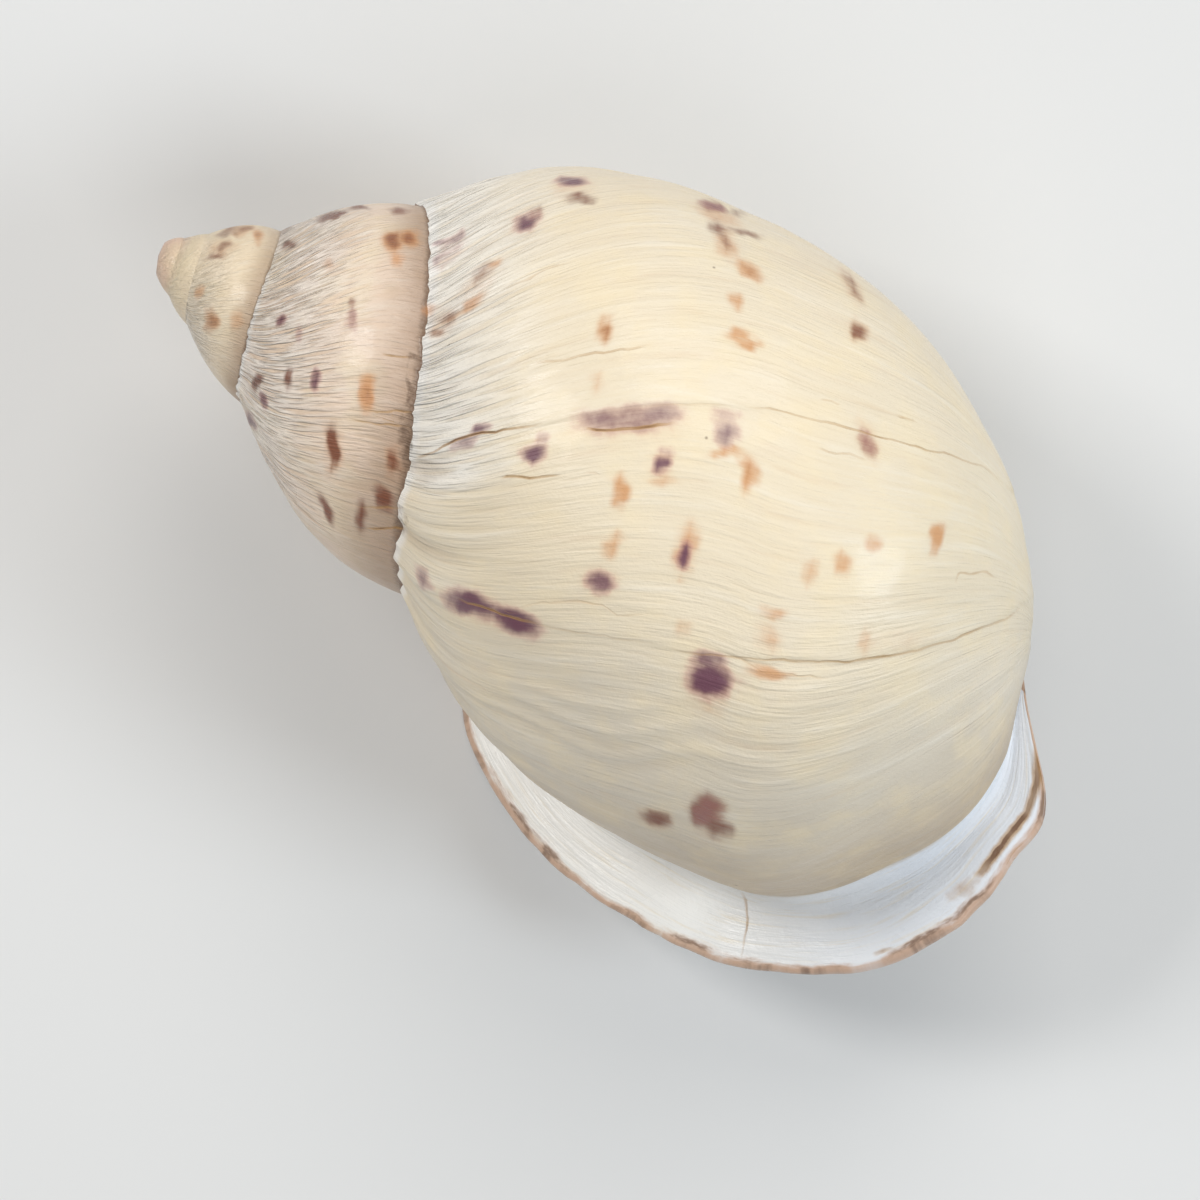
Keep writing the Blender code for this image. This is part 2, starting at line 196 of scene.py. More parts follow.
BROWN_MARKS = (
    (580, 199, 14, 5, -3, 0.7),
    (536, 213, 7, 6, 45, 0.5),
    (481, 272, 14, 7, 60, 0.45),
    (449, 318, 12, 7, 50, 0.5),
    (436, 334, 9, 6, 20, 0.5),
    (604, 329, 13, 7, 75, 0.45),
    (712, 206, 14, 6, -10, 0.75),
    (737, 212, 10, 5, -20, 0.5),
    (718, 227, 9, 6, -45, 0.7),
    (728, 242, 12, 6, -75, 0.5),
    (746, 234, 18, 4, -18, 0.6),
    (749, 270, 12, 6, -35, 0.3),
    (868, 443, 14, 8, -70, 0.55),
    (851, 288, 17, 5, -60, 0.55),
    (857, 329, 11, 6, -65, 0.7),
    (748, 470, 12, 5, 85, 0.35),
    (685, 554, 10, 4, 75, 0.6),
    (709, 682, 15, 14, 0, 0.9),
    (515, 624, 20, 7, -25, 0.7),
    (470, 603, 18, 6, -20, 0.6),
    (655, 817, 14, 8, -15, 0.9),
    (704, 812, 18, 13, 80, 1.0),
    (718, 829, 14, 12, -30, 0.9),
    (332, 216, 14, 5, 20, 0.85),
    (357, 209, 12, 3, 8, 0.7),
    (398, 209, 12, 3, -3, 0.7),
    (288, 246, 9, 4, 35, 0.7),
    (286, 230, 10, 3, 38, 0.4),
    (395, 241, 9, 8, 90, 0.6),
    (410, 239, 7, 6, 90, 0.6),
    (354, 304, 8, 5, 88, 0.55),
    (354, 318, 18, 5, 88, 0.4),
    (282, 320, 7, 4, 60, 0.7),
    (258, 381, 9, 4, 90, 0.85),
    (264, 401, 9, 4, 88, 0.7),
    (288, 379, 9, 5, 90, 0.8),
    (317, 381, 10, 5, 90, 0.5),
    (367, 394, 11, 4, 86, 0.35),
    (333, 446, 19, 6, 88, 1.0),
    (394, 461, 14, 6, 90, 0.7),
    (327, 510, 17, 5, -65, 0.9),
    (361, 517, 15, 6, -80, 0.8),
    (383, 499, 16, 8, -60, 0.8),
    (228, 232, 13, 4, 25, 0.55),
    (225, 246, 8, 4, 30, 0.55),
    (216, 257, 14, 4, 10, 0.6),
    (245, 228, 12, 3, 8, 0.5),
    (257, 236, 6, 6, 90, 0.35),
    (211, 320, 9, 4, 90, 0.45),
)
ORANGE_MARKS = (
    (573, 188, 24, 12, 0, 0.3),
    (478, 282, 30, 12, 42, 0.3),
    (446, 322, 26, 12, 40, 0.35),
    (527, 222, 22, 14, 25, 0.35),
    (492, 266, 12, 5, 30, 0.6),
    (471, 303, 18, 6, 45, 0.7),
    (429, 311, 9, 5, 30, 0.6),
    (449, 318, 14, 10, 50, 0.4),
    (436, 334, 12, 8, 20, 0.5),
    (604, 329, 15, 9, 75, 0.85),
    (718, 215, 26, 8, -25, 0.5),
    (728, 245, 18, 10, -75, 0.6),
    (748, 270, 15, 8, -35, 0.8),
    (735, 301, 12, 7, -60, 0.85),
    (739, 333, 13, 5, 0, 0.75),
    (749, 343, 13, 6, -8, 0.75),
    (596, 384, 12, 8, 90, 0.4),
    (629, 424, 64, 20, 2, 0.3),
    (664, 480, 16, 5, 0, 0.5),
    (660, 466, 16, 14, 90, 0.4),
    (532, 454, 17, 14, 0, 0.3),
    (620, 494, 18, 9, 80, 0.9),
    (614, 545, 15, 8, 60, 0.6),
    (600, 583, 19, 18, 60, 0.35),
    (686, 547, 25, 12, 78, 0.75),
    (681, 584, 13, 3, 75, 0.6),
    (685, 627, 12, 8, 90, 0.4),
    (726, 453, 18, 6, 4, 0.7),
    (748, 473, 19, 8, 86, 0.95),
    (868, 440, 24, 12, -70, 0.35),
    (851, 288, 22, 8, -60, 0.4),
    (857, 329, 14, 9, -65, 0.5),
    (872, 544, 10, 8, 90, 0.6),
    (842, 564, 15, 7, 84, 0.65),
    (811, 573, 15, 7, 80, 0.5),
    (936, 540, 15, 7, 80, 0.9),
    (774, 617, 13, 6, 15, 0.6),
    (771, 638, 18, 13, 90, 0.45),
    (772, 674, 22, 5, -4, 0.8),
    (867, 641, 16, 8, 82, 0.45),
    (900, 640, 40, 14, 8, 0.2),
    (709, 684, 30, 26, 90, 0.45),
    (494, 614, 52, 20, -23, 0.3),
    (655, 817, 19, 12, -15, 0.35),
    (709, 819, 28, 20, -60, 0.35),
    (395, 242, 12, 12, 90, 0.8),
    (410, 239, 10, 9, 90, 0.8),
    (396, 259, 9, 8, 90, 0.65),
    (328, 261, 8, 7, 90, 0.45),
    (367, 394, 19, 7, 86, 0.95),
    (333, 449, 25, 10, 88, 0.5),
    (394, 461, 20, 10, 90, 0.4),
    (257, 236, 9, 8, 90, 0.7),
    (243, 229, 18, 5, 8, 0.5),
    (198, 293, 10, 5, 65, 0.6),
    (211, 320, 12, 6, 90, 0.7),
    (236, 320, 12, 8, 90, 0.4),
    (222, 250, 18, 10, 25, 0.4),
)
# The same for the sides that the picture doesn't show: how many there are from one growth to
# another, and the rows that they keep to.
HIDDEN_MARKS = ((34, -0.95, 0.05), (22, -2.95, -2.05), (8, -4.9, -4.05))
HIDDEN_BANDS = (0.12, 0.33, 0.52, 0.74, 0.93, 1.17, 1.38)
HIDDEN_SEED = 5
MARK_CORE = 0.25
MARK_EDGE = 1.65

# Growth stops and cracks on the back, in the picture's pixels, from the suture on.
FIRST_STOP = (
    (414, 459), (437, 450), (455, 440), (480, 433), (515, 429), (545, 423), (580, 416),
    (640, 407), (700, 403), (737, 407), (769, 409), (796, 415), (829, 423), (858, 430),
    (884, 438), (925, 449), (953, 455), (985, 468), (1005, 485),
)
SECOND_STOP = (
    (448, 594), (480, 604), (512, 615), (534, 623), (551, 627), (573, 632), (598, 635),
    (622, 639), (645, 641), (665, 648), (691, 653), (730, 657), (769, 660), (810, 661),
    (849, 662), (884, 657), (918, 650), (953, 640), (982, 628), (1005, 619), (1023, 604),
)
# Each stop: its path, its height and the depth of its crack, in millimetres.
STOPS = ((FIRST_STOP, 0.14, 0.02), (SECOND_STOP, 0.12, 0.02))
STOP_SPREAD = 1.1
STOP_EDGE = 0.12
CRACK_WIDTH = 0.25
# Each stained line: its strength, its half width in pixels, and its path.
STAINED_LINES = (
    (1.0, 1.5, FIRST_STOP[:6]),
    (0.35, 1.3, FIRST_STOP[7:10]),
    (0.7, 1.2, FIRST_STOP[9:]),
    (0.4, 1.3, SECOND_STOP[3:9]),
    (0.75, 1.4, SECOND_STOP[9:]),
    (0.9, 1.4, ((455, 598), (480, 606), (505, 615), (542, 625))),
    (1.0, 1.6, ((580, 428), (600, 431), (640, 428), (676, 423))),
    (1.3, 5.0, ((1038, 737), (1037, 782), (1027, 813), (1010, 833), (994, 855), (980, 874),
                (964, 899))),
    (0.6, 6.0, ((976, 876), (958, 890), (944, 901))),
    (0.8, 2.6, ((871, 955), (893, 947))),
    (0.5, 1.5, ((514, 609), (540, 603), (575, 601), (602, 604), (616, 615), (655, 614))),
    (0.8, 1.6, ((499, 479), (508, 476), (534, 478), (563, 475))),
    (0.4, 1.4, ((576, 476), (593, 471), (602, 476))),
    (0.65, 1.4, ((531, 364), (561, 360), (595, 353), (630, 349), (655, 343))),
    (0.5, 1.5, ((501, 290), (529, 279), (542, 270), (570, 262))),
    (0.6, 1.4, ((955, 585), (960, 573), (971, 574), (985, 571), (997, 578))),
    (0.6, 1.4, ((818, 400), (829, 400), (840, 405))),
    (0.6, 1.4, ((815, 447), (835, 454), (849, 454), (870, 461))),
    (0.5, 1.4, ((895, 415), (918, 422))),
    (0.75, 1.4, ((741, 890), (746, 900), (747, 923), (744, 942), (741, 962))),
    (0.5, 1.5, ((755, 672), (780, 674), (829, 678))),
    (1.0, 1.5, ((364, 529), (385, 528), (407, 528))),
    (0.5, 1.4, ((283, 487), (300, 508), (325, 530), (345, 549))),
    (0.9, 1.4, ((380, 354), (395, 356), (415, 358))),
    (0.7, 1.3, ((350, 420), (378, 424), (412, 427))),
    (0.8, 1.3, ((366, 411), (398, 411), (413, 413))),
    (0.6, 1.3, ((355, 506), (380, 508), (406, 508))),
)
LINE_REACH = 4

# Dirt beside the suture on the back, darkened further as painted shade where the last whorl
# touches the spire, given as the markings are.
DIRT_AND_SHADE_MARKS = (
    (406, 438, 30, 7, 88, 0.6),
    (410, 398, 34, 4, 92, 0.6),
    (413, 358, 9, 3, 0, 0.6),
    (401, 520, 22, 5, 90, 0.45),
)

# Colours, as linear light. The whorls' tones go from the apex, 0, to the lip, 1.
WHORL_TONES = (
    (0.0, (0.93, 0.60, 0.45)),
    (0.24, (0.93, 0.66, 0.47)),
    (0.36, (0.88, 0.71, 0.48)),
    (0.55, (0.86, 0.70, 0.50)),
    (0.66, (0.80, 0.62, 0.48)),
    (0.78, (0.83, 0.64, 0.48)),
    (0.87, (0.84, 0.72, 0.54)),
    (0.952, (0.81, 0.69, 0.50)),
    (0.972, (0.75, 0.66, 0.52)),
    (1.0, (0.58, 0.49, 0.37)),
)
CREAM_PATCH = (0.88, 0.73, 0.48)
PALE_STREAK = (0.92, 0.86, 0.74)
TAN_STREAK = (0.70, 0.52, 0.34)
# Pearly white, also laid on ridge crests as a painted highlight.
PEARL_AND_HIGHLIGHT = (0.96, 0.93, 0.88)
# Stain darkened as painted shade, for low places in the relief and the crease behind the lip.
GROOVE_STAIN_AND_SHADE = (0.50, 0.36, 0.22)
# Painted shade, with a brown stain, on the spire beside the next suture.
SPIRE_SHADE = (0.36, 0.22, 0.14)
BRIM_WHITE = (0.96, 0.94, 0.89)
# Painted bluish highlight on the brim's lower rows.
BRIM_BLUE_HIGHLIGHT = (0.89, 0.93, 0.99)
RIM_TAN = (0.60, 0.38, 0.25)
RIM_BROWN = (0.10, 0.055, 0.035)
ORANGE_GLOW = (0.62, 0.26, 0.075)
RED_BROWN = (0.20, 0.052, 0.02)
PINK_HALO = (0.60, 0.28, 0.25)
VIOLET = (0.14, 0.05, 0.085)
YELLOW_STAIN = (0.50, 0.27, 0.08)
CRACK_BROWN = (0.14, 0.055, 0.022)
# Grime and black specks, also used as a painted contact shadow where the next whorl touches the
# spire.
SOIL_AND_SHADE = (0.13, 0.072, 0.04)
PORCELAIN = (0.86, 0.83, 0.80)
PORCELAIN_BLUE = (0.78, 0.79, 0.84)
PORCELAIN_TAN = (0.72, 0.60, 0.48)
FLOOR_COLOUR = (0.72, 0.71, 0.69, 1.0)
FLOOR_SIZE = 4
FLOOR_ROUGHNESS = 0.9

# Noise through the solid: bumps to a metre, detail and roughness.
BROAD_NOISE = (95, 3)
PATCH_NOISE = (240, 3, 0.6)
GRAIN_NOISE = (3500, 2, 0.6)
RAGGED_NOISE = (1100, 3, 0.6)
SOIL_NOISE = (1400, 3, 0.7)
CLOUD_NOISE = (120, 3)
SPECK_CELLS = 260
# Noise along the growth lines: bumps to a half turn and to a row, detail and roughness.
STREAK_NOISE = (60, 2.4, 4, 0.6)
LINE_NOISE = (210, 5, 3, 0.55)
FOLD_NOISE = (85, 3.2, 2)
INSIDE_STREAK_NOISE = (30, 2, 3)
# Heights of the finest relief, in metres.
LINE_HEIGHT = 0.00015
GRAIN_HEIGHT = 0.00003
INSIDE_HEIGHT = 0.00008

# Each light: its place to the right, up and near in the picture, its size, power and colour.
LIGHTS = (
    ("key", (0.12, 0.5, 0.5), 0.4, 1.9, (1.0, 0.98, 0.95)),
    ("window", (-0.42, 0.24, 0.5), 0.22, 1.8, (1.0, 1.0, 1.0)),
    ("side", (0.55, -0.08, 0.4), 0.2, 1.7, (0.8, 0.9, 1.0)),
    ("front", (0.1, -0.35, 0.6), 0.4, 1.15, (1.0, 1.0, 1.0)),
)
SKY_COLOUR = (0.9, 0.95, 1.0, 1.0)
SKY_STRENGTH = 0.25


def ease(value):
    value = np.clip(value, 0, 1)
    return value * value * (3 - 2 * value)


def along(stations, turn):
    """A smooth curve through values that stand at each half turn."""
    values = np.asarray(stations, float)
    ends = np.concatenate([[2 * values[0] - values[1]], values, [2 * values[-1] - values[-2]]])
    place = np.clip(np.asarray(turn, float) - FIRST_STATION, 0, len(values) - 1 - TINY)
    index = place.astype(int)
    part = place - index
    before, start, end, after = (ends[index + k] for k in range(4))
    slope = end - before
    bend = 2 * before - 5 * start + 4 * end - after
    twist = 3 * start - before - 3 * end + after
    return 0.5 * (2 * start + slope * part + bend * part**2 + twist * part**3)


def suture_height(turn):
    away = (np.asarray(turn, float) - SAG_TURN) / SAG_SPREAD
    return along(SUTURE_HEIGHT, turn) + SUTURE_SAG * np.exp(-(away**2))


def whorl_radius(turn, height, before=WHORLS_BEFORE):
    """The radius of a whorl's outer face, which starts from the face of the whorl before it."""
    turn, height = np.broadcast_arrays(np.asarray(turn, float), np.asarray(height, float))
    top = suture_height(turn)
    widest = along(WIDEST_HEIGHT, turn)
    base = along(BASE_HEIGHT, turn)
    most = along(WIDEST_RADIUS, turn)
    least = whorl_radius(turn - 2, top, before - 1) if before else FIRST_WHORL_SHARE * most
    above = np.clip((height - top) / (widest - top), 0, 1)
    below = np.clip((height - widest) / (base - widest), 0, 1)
    late = np.clip(turn, 0, 1)
    shoulder_curve = SHOULDER_CURVE + SHOULDER_CURVE_GAIN * np.clip(turn + 1, 0, 1)
    hip_curve = HIP_CURVE + HIP_CURVE_GAIN * late
    hip_power = HIP_POWER - HIP_POWER_LOSS * late
    shoulder = least + (most - least) * (1 - (1 - above) ** shoulder_curve)
    hip = AXIS_RADIUS + (most - AXIS_RADIUS) * (1 - below**hip_curve) ** hip_power
    return np.where(height < widest, shoulder, hip)


def growth_sweep(row):
    """How far a growth line leads or trails its place on row 1, in half turns."""
    lead = SUTURE_LEAD * (1 - np.clip(row, 0, 1)) ** LEAD_CURVE
    lag = BASE_LAG * np.clip(np.asarray(row) - 1, 0, 1) ** LAG_CURVE
    return lead - lag


def section(turn, row):
    """Height and radius of the outer face where a turn and a row cross."""
    turn, row = np.broadcast_arrays(np.asarray(turn, float), np.asarray(row, float))
    top = suture_height(turn)
    middle = suture_height(turn + 2)
    base = along(BASE_HEIGHT, turn)
    upper = top + (middle - top) * np.clip(row, 0, 1)
    lower = base - (base - middle) * (1 - np.clip(row - 1, 0, 1)) ** BASE_CROWDING
    height = np.where(row < 1, upper, lower)
    return height, whorl_radius(turn, height)


def section_normal(turn, row):
    """The way out of the wall: its share along the axis and its share away from it."""
    height_a, radius_a = section(turn, np.clip(row - SLOPE_STEP, 0, 2))
    height_b, radius_b = section(turn, np.clip(row + SLOPE_STEP, 0, 2))
    length = np.hypot(height_b - height_a, radius_b - radius_a)
    return (radius_a - radius_b) / length, (height_b - height_a) / length


def wall_point(growth, row, out=0.0, ahead=0.0):
    """A place on the wall, moved across the wall by out and along the growth by ahead."""
    turn = growth + growth_sweep(row)
    height, radius = section(turn, row)
    across, away = section_normal(turn, row)
    angle = np.asarray(turn) * math.pi
    reach = radius + away * out
    side = reach * np.cos(angle) - ahead * np.sin(angle)
    back = reach * np.sin(angle) + ahead * np.cos(angle)
    return np.stack(np.broadcast_arrays(height + across * out, side, back), -1)


def wall_thickness(growth):
    """The inner whorls have a thinner wall."""
    share = ease((growth - THINNEST_TURN) / (FULL_WALL_TURN - THINNEST_TURN))
    return WALL * (THINNEST_SHARE + (1 - THINNEST_SHARE) * share)


def lip_spread(row):
    """The lip's width on each row: none at the suture, most near the base, little at the axis."""
    start = np.sin(np.clip(row / LIP_START_ROWS, 0, 1) * math.pi / 2) ** LIP_START_POWER
    side = LIP_SIDE_GAIN * ease((row - LIP_SIDE_ROW) / LIP_SIDE_SPAN)
    base = LIP_BASE_LOSS * ease((row - LIP_BASE_ROW) / LIP_BASE_SPAN)
    dip = LIP_DIP * np.exp(-(((row - LIP_DIP_ROW) / LIP_DIP_SPAN) ** 2))
    close = LIP_CLOSED_SHARE + (1 - LIP_CLOSED_SHARE) * ease((2 - row) / LIP_CLOSE_ROWS)
    return start * (LIP_SPREAD + side - base - dip) * close


def noise(x, y, seed, size=256):
    """Smooth values from -1 to 1 over a plane, with one bump to a unit each way."""
    table = np.random.default_rng(seed).uniform(-1, 1, (size, size))
    x, y = np.broadcast_arrays(np.asarray(x, float), np.asarray(y, float))
    column, row = np.floor(x).astype(int), np.floor(y).astype(int)
    part_x, part_y = ease(x - column), ease(y - row)
    total = 0
    for step_x, weight_x in ((0, 1 - part_x), (1, part_x)):
        for step_y, weight_y in ((0, 1 - part_y), (1, part_y)):
            corner = table[(column + step_x) % size, (row + step_y) % size]
            total = total + corner * weight_x * weight_y
    return total


def growth_wobble(growth, row):
    """Growth lines aren't even: how far one strays from its place, in half turns."""
    return 0.01 * noise(growth * 5, row * 4, 11) + 0.004 * noise(growth * 16, row * 9, 12)


def fine_ridges(growth, row):
    """Close, uneven ridges along the growth lines, from 0 to 1."""
    place = growth + growth_wobble(growth, row)
    broad = 1 - np.abs(noise(place * 44, row * 3.1, 21))
    narrow = 1 - np.abs(noise(place * 84, row * 5.3, 22))
    return 0.62 * broad**2 + 0.38 * narrow**2


def shoulder_wrinkles(growth, row):
    """How wrinkled a place is: most under the suture on the back of the last whorl."""
    near_suture = ease((0.42 - row) / 0.36)
    on_back = ease((growth + 0.45) / 0.3) * ease((0.85 - growth) / 0.35)
    patches = 0.75 + 0.25 * noise(growth * 7, row * 6, 31)
    smooth = 1 - 0.8 * ease((growth - 0.45) / 0.04)
    return near_suture * on_back * patches * smooth


def picture_place(points):
    """Where the camera sees points that are given round the axis, in the picture's pixels."""
    right = np.array([math.cos(CAMERA_TILT), -math.sin(CAMERA_TILT), 0])
    up = np.array([math.sin(CAMERA_TILT), math.cos(CAMERA_TILT), 0])
    away = np.asarray(points) - np.array(CAMERA_PLACE)
    scale = LENS / SENSOR * PICTURE_SIZE / -away[..., 2]
    middle = PICTURE_SIZE / 2
    return middle + away @ right * scale, middle - away @ up * scale


def faces_camera(growth, row):
    """Whether the picture shows a place on the outer face."""
    turn = growth + growth_sweep(row)
    exposed = (row <= 1) | (growth > -1)
    return exposed & ((np.sin(turn * math.pi) > MOST_TURNED_AWAY) | (growth > LIP_SEEN_FROM))


def line_distance(x, y, path):
    """How far places are from a path in the picture, the side of it that they are on, and how
    far along it, from 0 to 1."""
    nearest = np.full(np.shape(x), np.inf)
    side, across, reached = np.zeros((3, *np.shape(x)))
    for number, ((x0, y0), (x1, y1)) in enumerate(zip(path, path[1:])):
        run, rise = x1 - x0, y1 - y0
        share = np.clip(((x - x0) * run + (y - y0) * rise) / (run**2 + rise**2), 0, 1)
        distance = np.hypot(x - x0 - share * run, y - y0 - share * rise)
        off = ((x - x0) * rise - (y - y0) * run) / math.hypot(run, rise)
        # Beyond a corner both parts are as near, and the side is that of the part passed furthest.
        level = np.abs(distance - nearest) < SAME_DISTANCE
        closer = np.where(level, np.abs(off) > across, distance < nearest)
        nearest = np.where(closer, distance, nearest)
        side = np.where(closer, np.sign(off), side)
        across = np.where(closer, np.abs(off), across)
        reached = np.where(closer, (number + share) / (len(path) - 1), reached)
    return nearest, side, reached


def growth_stops(growth, row):
    """Where growth stopped, the older shell ends in a low step with a crack along it."""
    x, y = picture_place(wall_point(growth, row))
    total = np.zeros(np.shape(x))
    for path, height, depth in STOPS:
        distance, side, reached = line_distance(x, y, path)
        distance = distance * PIXEL
        step = np.tanh(side * distance / STOP_EDGE) * np.exp(-distance / STOP_SPREAD)
        open_crack = depth * (0.6 + 0.4 * noise(reached * 14, 0, 56))
        total += height / 2 * step - open_crack * np.exp(-((distance / CRACK_WIDTH) ** 2))
    return np.where(faces_camera(growth, row), total, 0)


def shoulder_folds(growth, row):
    """Broad glossy ripples under the suture, past the first stop."""
    zone = ease((growth - 0.41) / 0.05) * ease((0.7 - growth) / 0.08) * ease((0.4 - row) / 0.3)
    place = growth + 0.6 * growth_wobble(growth, row)
    return zone * noise(place * 34, row * 2.5, 51)


def late_folds(growth, row):
    """Past the second stop, folds run from the suture towards the lip, and ridges line it."""
    place = growth + 0.8 * growth_wobble(growth, row)
    folds = ease((growth - 0.62) / 0.14) * ease((0.85 - row) / 0.5)
    bent = 1 - 2.2 * np.abs(noise(place * 34 + 1.2 * noise(growth * 4, row * 3, 53), row * 1.3, 54))
    faint = 0.35 * ease((growth - 0.66) / 0.1) * ease((1.9 - row) / 0.4)
    ridges = ease((growth - 0.88) / 0.12) * ease((1.9 - row) / 0.4)
    return 0.26 * np.maximum(folds, faint) * bent + 0.08 * ridges * noise(place * 75, row * 2.2, 55)


def suture_beads(growth, row):
    """The suture's edge is crenulated: low beads in its first rows."""
    late = ease((growth + 2.1) / 0.6)
    return late * ease((0.05 - row) / 0.05) * (0.5 + 0.5 * noise(growth * 85, 0 * row, 52))


def lip_swell(growth, row):
    """Behind the lip, the last whorl swells out on its way to the base, and flares where the lip
    starts, in millimetres."""
    swell = SWELL * ease((growth - 0.62) / 0.38) * np.exp(-(((row - SWELL_ROW) / SWELL_SPAN) ** 2))
    near_lip = np.clip((growth - FLARE_START) / (LIP_TURN - FLARE_START), 0, 1)
    return swell + FLARE * near_lip**2 * np.minimum(lip_spread(row), 1)


def relief(growth, row):
    """How far the outer face stands proud of the even coil, in millimetres."""
    from_apex = growth + (2 - SUTURE_LEAD) * row
    blunt = APEX_ROUNDING * ease((APEX_ROUND_END - from_apex) / (APEX_ROUND_END - APEX_TURN))
    swell = 0.12 * noise(growth * 6.5, row * 4.2, 41) + 0.05 * noise(growth * 19, row * 8, 42)
    swell = swell * late_share(growth) * ease((2 - row) / 0.25)
    return fine_relief(growth, row) + swell + lip_swell(growth, row) + blunt


def late_share(growth):
    """The first whorls are smooth, from 0 there to 1 on the last two."""
    return ease((growth + 3.2) / 2.4)


def fine_relief(growth, row):
    """The folds, ridges and cracks, in millimetres."""
    steady = ease((2 - row) / 0.25)
    place = growth + growth_wobble(growth, row)
    folds = 0.07 * noise(place * 27, row * 3.4, 43)
    spire = ease((-0.85 - growth) / 0.1)
    rough = 0.02 + (0.03 + 0.07 * spire) * ease((0.6 - row) / 0.4)
    ridges = rough * (fine_ridges(growth, row) - 0.4)
    wrinkles = shoulder_wrinkles(growth, row)
    broken = 0.75 + 0.25 * noise(place * 30, row * 15, 45)
    deep = 0.36 * broken * (fine_ridges(growth, row) - 0.4) + 0.16 * noise(place * 40, row * 9, 44)
    marked = growth_stops(growth, row) + 0.45 * shoulder_folds(growth, row)
    marked = marked + late_folds(growth, row)
    even = folds + ridges + wrinkles * deep
    return late_share(growth) * steady * (even + marked) + 0.2 * suture_beads(growth, row)


def lip_grooves(share, row):
    """Fine ridges on the brim, along the lip, and its worn and chipped edge."""
    lines = 0.13 * noise(share * 11 + 0.6 * noise(row * 3, 0, 61), row * 2.2, 62)
    broad = 0.16 * noise(share * 4, row * 5, 63)
    edge = 0.16 * noise(share * 3, row * 26, 64) * ease((share - 0.85) / 0.15)
    return (lines + broad + edge) * ease(share / 0.2)


def mark_field(x, y, marks):
    """How strong the strongest of some soft, ragged ovals is at places in the picture."""
    total = np.zeros(np.shape(x))
    stray_x = 3.5 * noise(x / 17, y / 17, 71) + 2 * noise(x / 7, y / 7, 72)
    stray_y = 3.5 * noise(x / 17, y / 17, 73) + 2 * noise(x / 7, y / 7, 74)
    x, y = x + stray_x, y + stray_y
    for mark_x, mark_y, long, wide, lean, strength in marks:
        angle = math.radians(lean)
        off_x, off_y = x - mark_x, mark_y - y
        reach = (off_x * math.cos(angle) + off_y * math.sin(angle)) / long
        aside = (off_y * math.cos(angle) - off_x * math.sin(angle)) / wide
        field = ease((MARK_EDGE - np.hypot(reach, aside)) / (MARK_EDGE - MARK_CORE))
        total = np.maximum(total, strength * field)
    return total


def hidden_fields(growth, row, points):
    """The three kinds of marks on the sides that the picture doesn't show."""
    rng = np.random.default_rng(HIDDEN_SEED)
    fields = np.zeros((3, len(points)))
    for count, first, last in HIDDEN_MARKS:
        for _ in range(count):
            mark_growth = rng.uniform(first, last)
            mark_row = rng.choice([band for band in HIDDEN_BANDS if band < 1 or first > -1])
            mark_row += rng.normal(0, 0.03)
            long, wide = rng.uniform(0.7, 1.7), rng.uniform(0.35, 0.8)
            tones = rng.uniform(0, 1, 3) * (0.9, 0.9, 1.0)
            middle = wall_point(mark_growth, mark_row)
            onward = wall_point(mark_growth + 0.01, mark_row) - middle
            onward = onward / np.linalg.norm(onward)
            off = points - middle
            reach = off @ onward
            aside = np.sqrt(np.maximum((off**2).sum(-1) - reach**2, 0))
            near = np.hypot(reach / long, aside / wide)
            for kind, (size, tone) in enumerate(zip((1.0, 0.9, 1.6), tones)):
                field = ease((MARK_EDGE - near / size) / (MARK_EDGE - MARK_CORE))
                fields[kind] = np.maximum(fields[kind], tone * field)
    return fields


def stain_field(x, y):
    """The thin stained lines at places in the picture: how strong the nearest one is, and how
    far away it is, in its half widths, with the sign of its side."""
    strength = np.zeros(np.shape(x))
    nearest = np.full(np.shape(x), np.inf)
    x = x + 1.2 * noise(x / 9, y / 9, 75)
    y = y + 1.2 * noise(x / 9, y / 9, 76)
    for number, (strongest, width, path) in enumerate(STAINED_LINES):
        distance, side, reached = line_distance(x, y, path)
        taper = (1 - np.abs(2 * reached - 1) ** 3) ** 0.6
        uneven = 0.8 + 0.2 * noise(reached * len(path) * 1.7, number, 77)
        closer = distance / width < np.abs(nearest)
        strength = np.where(closer, strongest * taper * uneven, strength)
        nearest = np.where(closer, np.where(side < 0, -1, 1) * distance / width, nearest)
    nearest = np.clip(nearest, -LINE_REACH, LINE_REACH)
    return strength * ease(2 * (1 - np.abs(nearest) / LINE_REACH)), nearest


def paint(values, points):
    """Marks and tones of the corners: violet, brown, orange and the nearest line's strength, and
    then grime darkened as painted shade, wrinkles, how far a place stands proud, and where the
    nearest line is."""
    growth, row, brim, inner = values.T
    outside = inner == 0
    seen = outside & faces_camera(growth, row)
    x, y = picture_place(points)
    marks = np.zeros((len(points), 4))
    tones = np.zeros((len(points), 4))
    for kind, group in enumerate((VIOLET_MARKS, BROWN_MARKS, ORANGE_MARKS)):
        marks[seen, kind] = mark_field(x[seen], y[seen], group)
    line_strength, line_place = stain_field(x[seen], y[seen])
    marks[seen, 3] = line_strength
    facing = np.sin((growth + growth_sweep(row)) * math.pi)
    fading = ease((facing - MOST_TURNED_AWAY) / FADING_SPAN)
    marks *= np.where(growth > LIP_SEEN_FROM, 1, fading)[:, None]
    tones[seen, 3] = 0.5 + line_place / LINE_REACH / 2
    hidden = outside & ~faces_camera(growth, row) & ((row <= 1) | (growth > BASE_SEEN_FROM))
    marks[hidden, :3] = hidden_fields(growth[hidden], row[hidden], points[hidden]).T
    tones[seen, 0] = mark_field(x[seen], y[seen], DIRT_AND_SHADE_MARKS)
    tones[outside, 1] = shoulder_wrinkles(growth[outside], row[outside])
    tones[outside, 2] = 0.5 + fine_relief(growth[outside], row[outside])
    return marks, tones


